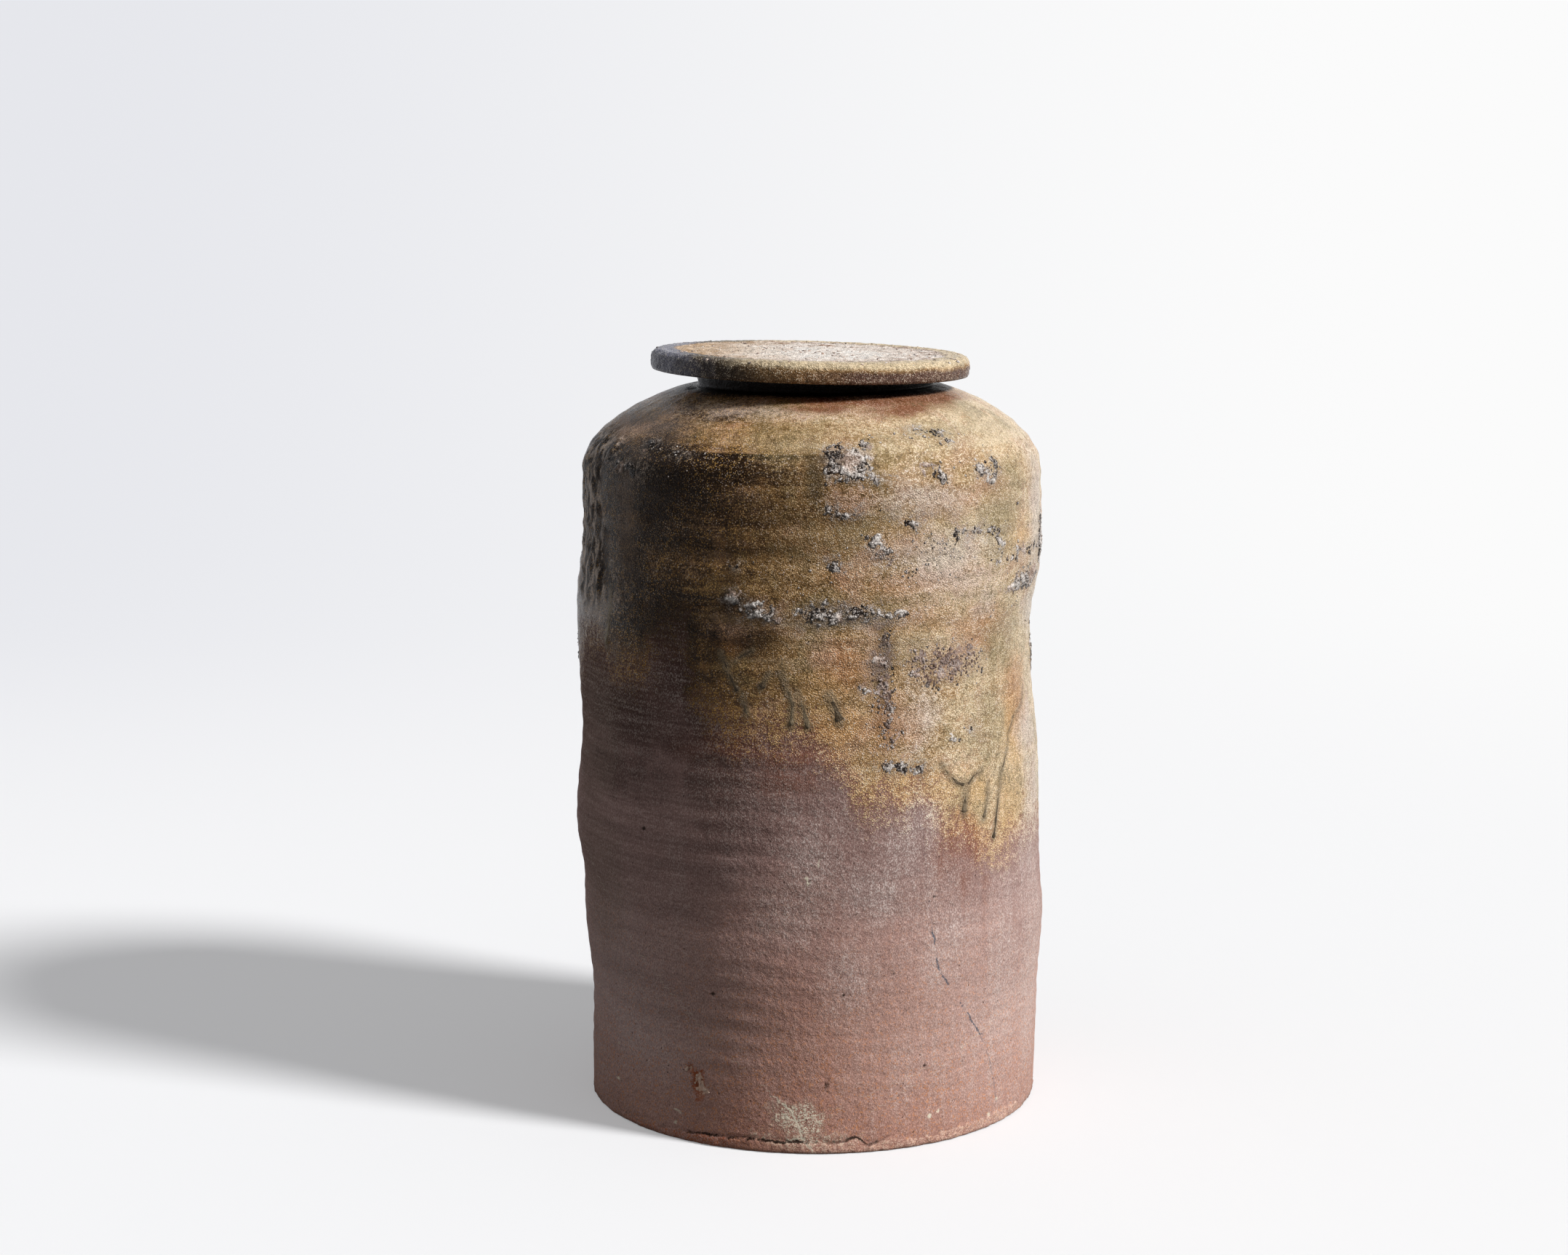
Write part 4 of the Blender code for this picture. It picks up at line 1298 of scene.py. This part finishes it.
def ash_glazed_lid():
    """The same stoneware: ash melted gold on the rim, and stayed a rough pale scurf on the disc."""
    look, sizes = bpy.context.scene.stoneware_colours, bpy.context.scene.stoneware_sizes
    on = fired_surface("ash_glazed_lid", sizes.grain)
    tree = on.tree
    node = functools.partial(add, tree)
    disc, radius, rise = (node("Attribute", attribute_name=name, out="Fac")
                          for name in ("disc", "radius", "rise"))
    side = node("Math", node("SeparateXYZ", on.place, out="X"), -22 * MM, operation="ADD")
    side = weighed(tree, side, (on.hue, 44 * MM))

    # The disc: pale scurf in rings and streaks, thin towards its edge, with brown clay between
    streaks = drawn_noise(on, (0.45, 1.0, 1.0), 5 * MM, 5.0)
    scurf = weighed(tree, -0.65, (streaks, 1.5), (on.middling, 0.9))
    inner = node("MapRange", radius, 70 * MM, 30 * MM, 0.0, 0.35)
    scurf = node("Math", scurf, inner, operation="ADD")
    top = tinted(tree, look.lid_brown, (look.lid_pale, 1.0, (scurf, 0.28, 0.68)),
                 (look.lid_white, 1.0, (scurf, 0.75, 1.05)),
                 (look.ash_gold, 0.7, (side, -10 * MM, -60 * MM)))
    # Painted shade in the pits and painted light on the grains, with white tips
    top = grain_lit_and_shaded(tree, top, on.grain, 0.5, look.lid_white, 0.4)

    # The rim: slate on the left, then dark, olive and gold, with a yellow upper edge on the right; darker
    # towards the left
    edge = weighed(tree, rise, (on.middling, 5 * MM))
    rim = tinted(tree, look.ash_olive, (look.ash_gold, 1.0, (on.hue, 0.44, 0.64)),
                 (look.lid_dark, 0.95, (side, -8 * MM, -46 * MM)),
                 (look.lid_slate, 0.75, (side, -58 * MM, -70 * MM)),
                 (look.ash_orange, 0.6, (side, 76 * MM, 92 * MM)),
                 (look.lid_purple, 1.0, (edge, 8.8 * MM, 6.8 * MM), (side, -30 * MM, 20 * MM, 0.0, 0.9)),
                 (look.lid_yellow, 1.0, (edge, 8.4 * MM, 10.2 * MM), (side, -60 * MM, -20 * MM, 0.0, 0.75)))
    # Painted shade in the pits and painted glints on the tips of the grains
    rim = grain_lit_and_shaded(tree, rim, on.grain, 0.75, look.ash_glint_pale, 0.5)
    colour = node("Mix", disc, rim, top, data_type="RGBA")
    rough = node("MapRange", disc, 0.0, 1.0, 0.27, 0.85)
    rise = node("Math", on.dome, sizes.ash_relief, operation="MULTIPLY")
    rise = weighed(tree, rise, (on.grit, 0.2 * MM), (on.small, 1.5 * MM))
    return surfaced(on, colour, rough, 0.12, rise)


def white_paper():
    """Matt white paper, lit white behind; seen by the jar it is grey, as in a half-dark studio."""
    light = bpy.context.scene.stoneware_light
    on = new_surface("white_paper")
    tree = on.tree
    node = functools.partial(add, tree)
    shader = tree.nodes["Principled BSDF"]
    seen = node("LightPath", out="Is Camera Ray")
    rays = seen.node.outputs
    for ray in (rays["Is Glossy Ray"], rays["Is Transmission Ray"]):
        seen = node("Math", seen, ray, operation="MAXIMUM")
    across = node("SeparateXYZ", on.place, out="X")
    side = node("MapRange", across, -1.3, 0.9, interpolation_type="SMOOTHSTEP")
    backdrop = node("Mix", side, light.backdrop_left, light.backdrop_right, data_type="RGBA")
    paper = node("Mix", seen, (light.paper_bounce,) * 3, light.paper_colour, data_type="RGBA")
    shine = node("Math", seen, light.paper_glow, operation="MULTIPLY")
    for name, value in (("Base Color", paper), ("Roughness", 0.9), ("Specular IOR Level", 0.0),
                        ("Emission Color", backdrop), ("Emission Strength", shine)):
        plug(tree, shader.inputs[name], value)
    depth = node("MapRange", across.node.outputs["Y"], 0.3, 1.6, interpolation_type="SMOOTHSTEP")
    share = node("Math", depth, seen, operation="MULTIPLY")
    mixed = node("MixShader", share, shader.outputs[0], node("Emission", backdrop, 1.0))
    plug(tree, tree.nodes["Material Output"].inputs["Surface"], mixed)
    return on.material


# The studio

SWEEP_WIDTH = 14.0
SWEEP_FRONT = -6.0
SWEEP_BACK = 3.2
SWEEP_ROUND = 1.2
SWEEP_HEIGHT = 4.5
SWEEP_STEPS = 24

LAMP_AZIMUTH = math.radians(66)
LAMP_RISE = math.radians(37.5)
LAMP_DISTANCE = 3.0
LAMP_ANGLE = math.radians(11)


def make_sweep():
    """A white paper sweep: a floor that curves up into a backdrop."""
    turns = 0.5 * math.pi * np.arange(SWEEP_STEPS + 1) / SWEEP_STEPS
    curve = [(SWEEP_BACK - SWEEP_ROUND + SWEEP_ROUND * math.sin(turn),
              SWEEP_ROUND * (1 - math.cos(turn))) for turn in turns]
    points = [(SWEEP_FRONT, 0.0), *curve, (SWEEP_BACK, SWEEP_HEIGHT)]
    half = SWEEP_WIDTH / 2
    corners = np.array([(x, y, z) for y, z in points for x in (-half, half)])
    faces = [(2 * i, 2 * i + 1, 2 * i + 3, 2 * i + 2) for i in range(len(points) - 1)]
    sweep = piece("paper_sweep", corners, faces, white_paper())


def make_lamp():
    """One large soft lamp, far off to the right of the camera."""
    data = bpy.data.lights.new("soft_lamp", "SUN")
    data.angle = LAMP_ANGLE
    data.energy = bpy.context.scene.stoneware_light.lamp_level * math.pi
    lamp = bpy.data.objects.new("soft_lamp", data)
    bpy.context.scene.collection.objects.link(lamp)
    across = math.cos(LAMP_RISE)
    away = Vector((math.sin(LAMP_AZIMUTH) * across, -math.cos(LAMP_AZIMUTH) * across,
                   math.sin(LAMP_RISE)))
    lamp.location = away * LAMP_DISTANCE
    lamp.rotation_euler = away.to_track_quat("Z", "Y").to_euler()


def make_world():
    """A white room that is bright above and on the left, and dark elsewhere."""
    light = bpy.context.scene.stoneware_light
    world = bpy.data.worlds.new("white_room")
    world.use_nodes = True
    tree = world.node_tree
    up = add(tree, "SeparateXYZ", add(tree, "TexCoord", out="Generated"), out="Z")
    left = add(tree, "Math", up.node.outputs["X"], -1.0, operation="MULTIPLY")
    level = light.room_level
    for way, strength in ((up, light.ceiling_level), (left, light.left_wall_level)):
        facing = add(tree, "Math", way, 0.0, operation="MAXIMUM")
        facing = add(tree, "Math", facing, 2.0, operation="POWER")
        level = weighed(tree, level, (facing, strength))
    background = tree.nodes["Background"]
    plug(tree, background.inputs["Color"], (1, 1, 1))
    plug(tree, background.inputs["Strength"], level)
    bpy.context.scene.world = world


def make_camera():
    """The camera at the photograph's viewing angle."""
    data = bpy.data.cameras.new("camera")
    data.lens = LENS
    data.sensor_width = SENSOR_WIDTH
    camera = bpy.data.objects.new("camera", data)
    camera.location = CAMERA_PLACE
    camera.rotation_euler = CAMERA_ANGLES
    bpy.context.scene.collection.objects.link(camera)
    bpy.context.scene.camera = camera


# The add-on

def length(name, description, default):
    return FloatProperty(name=name, description=description, default=default, unit="LENGTH",
                         precision=5)


def level(name, description, default, **limits):
    return FloatProperty(name=name, description=description, default=default, min=0, **limits)


def colour(name, description, hex_colour):
    return FloatVectorProperty(name=name, description=description, default=linear(hex_colour),
                               subtype="COLOR", size=3, min=0, max=1)


class StonewareSizes(bpy.types.PropertyGroup):
    """Sizes of the throwing marks and the fired surface"""

    ring_pitch: length("Ring pitch", "Distance between throwing rings", 10.5 * MM)
    ring_depth: length("Ring depth", "Half the depth of the throwing rings", 0.3 * MM)
    grain: length("Grain", "Size of the grains of the ash and the grit of the clay", 0.74 * MM)
    ash_relief: length("Ash relief", "Height of the grains of the ash glaze", 0.26 * MM)
    clay_relief: length("Clay relief", "Height of the grit in the bare clay", 0.17 * MM)
    nodule_radius: length("Nodule radius", "Usual radius of the loose grains on the glaze", 0.6 * MM)
    run_height: length("Run height", "Height of the runs over the wall", 0.28 * MM)


class StonewareColours(bpy.types.PropertyGroup):
    """Colours of the clay, the ash glaze and what stuck to them"""

    clay_grey: colour("Grey clay", "Bare clay away from the fire", "#bda39e")
    clay_red: colour("Red clay", "Bare clay that fired red", "#b78777")
    clay_mauve: colour("Mauve clay", "Bare clay that fired purple", "#967872")
    clay_maroon: colour("Maroon clay", "Bare clay just below the ash", "#5d433a")
    # Also painted shade in level bands on the clay
    dark_clay_and_shade: colour("Dark clay", "Pits and grooves of the bare clay", "#43302b")
    clay_foot: colour("Foot clay", "Bare clay near the foot", "#a8705b")
    clay_pink: colour("Pink clay", "Clay towards the fire", "#c3a399")
    haze: colour("Haze", "Pale bloom of fly ash", "#dfd2cb")
    # Partly a painted sheen along the left outline
    veil: colour("Veil", "Thin smooth ash on the left", "#847367")
    rust: colour("Rust", "Iron that came to the surface", "#8a5138")
    spark: colour("Iron grains", "Grains of iron in the clay", "#cf8d63")
    # Also painted shade on the neck under the lid, in the crusts' gaps and between the strip's ridges
    black_ash_and_shade: colour("Burnt ash", "Ash mixed with soot", "#1c110a")
    ash_dark: colour("Dark ash", "Thinnest ash glaze", "#2e1c0b")
    ash_brown: colour("Brown ash", "Sooty ash glaze", "#5f4429")
    ash_ochre: colour("Ochre ash", "Lower edge of the glaze away from the fire", "#906431")
    ash_olive: colour("Olive ash", "Thin ash glaze", "#9a7548")
    ash_green: colour("Green ash", "Ash that pooled", "#94835c")
    ash_gold: colour("Gold ash", "Thick ash glaze", "#c4a177")
    ash_beige: colour("Beige ash", "Ash towards the fire", "#e2caa6")
    ash_buff: colour("Buff ash", "Thin ash between the crusts", "#cfa58a")
    ash_orange: colour("Orange ash", "Ash over iron", "#bf8452")
    ash_bright: colour("Bright ash", "Golden lower edge of the glaze", "#deb176")
    # Painted glints on the tips of the grains
    ash_glint_gold: colour("Gold tips", "Tips of the grains away from the fire", "#dcab5c")
    ash_glint_pale: colour("Pale tips", "Tips of the grains towards the fire", "#f2e6cf")
    red_glaze: colour("Red glaze", "Iron-red glaze under the lid", "#7f4225")
    # Its pale ridges are partly painted glints
    strip_grey_and_glint: colour("Ridged ash", "Rough dark ash on the left", "#c2b2a7")
    crust_dark: colour("Dark crust", "Sooty nodules", "#5c514a")
    crust_brown: colour("Brown crust", "Nodules that fired brown", "#917569")
    crust_grey: colour("Grey crust", "Half-melted ash between the nodules", "#c6bcb5")
    # Also painted highlight on the highest grains of the crusts
    crust_pale_and_glint: colour("Pale crust", "White nodules", "#f2ebe4")
    run_dark: colour("Dark run", "Thick glass", "#4b3e2f")
    run_pale: colour("Pale run", "Thin glass", "#928168")
    stain: colour("Cream stain", "Lime stain at the foot", "#f2e6cf")
    stain_dark: colour("Dull stain", "Thin lime on the clay", "#b09880")
    chip_brown: colour("Edge of the chip", "Older break round the chip", "#a3562f")
    broken_clay: colour("Broken clay", "Fresh clay in the chip", "#e6c4ae")
    crack: colour("Crack", "Ash in the hairline crack", "#4d5966")
    lid_pale: colour("Pale scurf", "Unmelted ash on the lid", "#efe2d8")
    lid_white: colour("White scurf", "Thickest unmelted ash on the lid", "#f6f0ea")
    lid_brown: colour("Brown scurf", "Clay under the lid's ash", "#8e6b55")
    lid_purple: colour("Purple rim", "Lower edge of the lid", "#634740")
    lid_slate: colour("Slate rim", "Left end of the lid's edge", "#7d7f93")
    # Darkens the left of the lid's edge
    lid_dark: colour("Dark rim", "Soot on the lid's edge", "#352a20")
    lid_yellow: colour("Yellow rim", "Upper edge of the lid", "#e4d0ad")


class StonewareLight(bpy.types.PropertyGroup):
    """Levels of the studio light and the paper"""

    lamp_level: level("Lamp", "Light of the lamp on a surface that faces it", 1.25)
    room_level: level("Room", "Light from the room on every side", 0.025)
    ceiling_level: level("Ceiling", "Light from straight above", 0.5)
    left_wall_level: level("Left wall", "Light from the far left", 0.28)
    paper_bounce: level("Paper bounce", "How much the paper lights the jar", 0.13, max=1)
    paper_glow: level("Paper glow", "Least brightness of the paper behind", 0.27, max=1)
    paper_colour: colour("Paper", "Floor as the camera sees it", "#d3d3d4")
    backdrop_left: colour("Backdrop left", "Backdrop away from the lamp", "#e6e7ec")
    backdrop_right: colour("Backdrop right", "Backdrop near the lamp", "#fbfbfb")


class STONEWARE_OT_stage(bpy.types.Operator):
    """Set the paper sweep, the soft studio light and the camera"""

    bl_idname = "stoneware.stage"
    bl_label = "Stage"

    def execute(self, context):
        make_camera()
        make_sweep()
        make_lamp()
        make_world()
        context.scene.view_settings.view_transform = "Standard"
        return {"FINISHED"}


class STONEWARE_OT_wall(bpy.types.Operator):
    """Make the thrown vessel with its rings, foot, chip and hollow"""

    bl_idname = "stoneware.wall"
    bl_label = "Jar wall"

    def execute(self, context):
        make_jar_wall()
        return {"FINISHED"}


class STONEWARE_OT_crusts(bpy.types.Operator):
    """Stick the nodules of ash to the wall"""

    bl_idname = "stoneware.crusts"
    bl_label = "Ash crusts"

    def execute(self, context):
        make_ash_crusts()
        return {"FINISHED"}


class STONEWARE_OT_runs(bpy.types.Operator):
    """Let the melted ash run down the wall"""

    bl_idname = "stoneware.runs"
    bl_label = "Ash runs"

    def execute(self, context):
        make_glaze_runs()
        return {"FINISHED"}


class STONEWARE_OT_lid(bpy.types.Operator):
    """Make the loose disc lid"""

    bl_idname = "stoneware.lid"
    bl_label = "Lid"

    def execute(self, context):
        make_lid()
        return {"FINISHED"}


class STONEWARE_OT_lid_crumbs(bpy.types.Operator):
    """Strew crumbs of ash over the lid"""

    bl_idname = "stoneware.lid_crumbs"
    bl_label = "Lid crumbs"

    def execute(self, context):
        make_lid_crumbs()
        return {"FINISHED"}


class STONEWARE_PT_panel(bpy.types.Panel):
    bl_label = "Stoneware jar"
    bl_space_type = "VIEW_3D"
    bl_region_type = "UI"
    bl_category = "Stoneware jar"

    def draw(self, context):
        layout = self.layout
        for kind in OPERATORS:
            layout.operator(kind.bl_idname)
        scene = context.scene
        for group in (scene.stoneware_sizes, scene.stoneware_colours, scene.stoneware_light):
            box = layout.box()
            for name in group.__annotations__:
                box.prop(group, name)


OPERATORS = (STONEWARE_OT_stage, STONEWARE_OT_wall, STONEWARE_OT_crusts, STONEWARE_OT_runs,
             STONEWARE_OT_lid, STONEWARE_OT_lid_crumbs)
GROUPS = (("stoneware_sizes", StonewareSizes), ("stoneware_colours", StonewareColours),
          ("stoneware_light", StonewareLight))


def register():
    for name, kind in GROUPS:
        bpy.utils.register_class(kind)
        setattr(bpy.types.Scene, name, PointerProperty(type=kind))
    for kind in (*OPERATORS, STONEWARE_PT_panel):
        bpy.utils.register_class(kind)


def unregister():
    for kind in reversed((*OPERATORS, STONEWARE_PT_panel)):
        bpy.utils.unregister_class(kind)
    for name, kind in reversed(GROUPS):
        delattr(bpy.types.Scene, name)
        bpy.utils.unregister_class(kind)


def main():
    register()
    bpy.ops.stoneware.stage()
    bpy.ops.stoneware.wall()
    bpy.ops.stoneware.crusts()
    bpy.ops.stoneware.runs()
    bpy.ops.stoneware.lid()
    bpy.ops.stoneware.lid_crumbs()


if __name__ == "__main__":
    main()
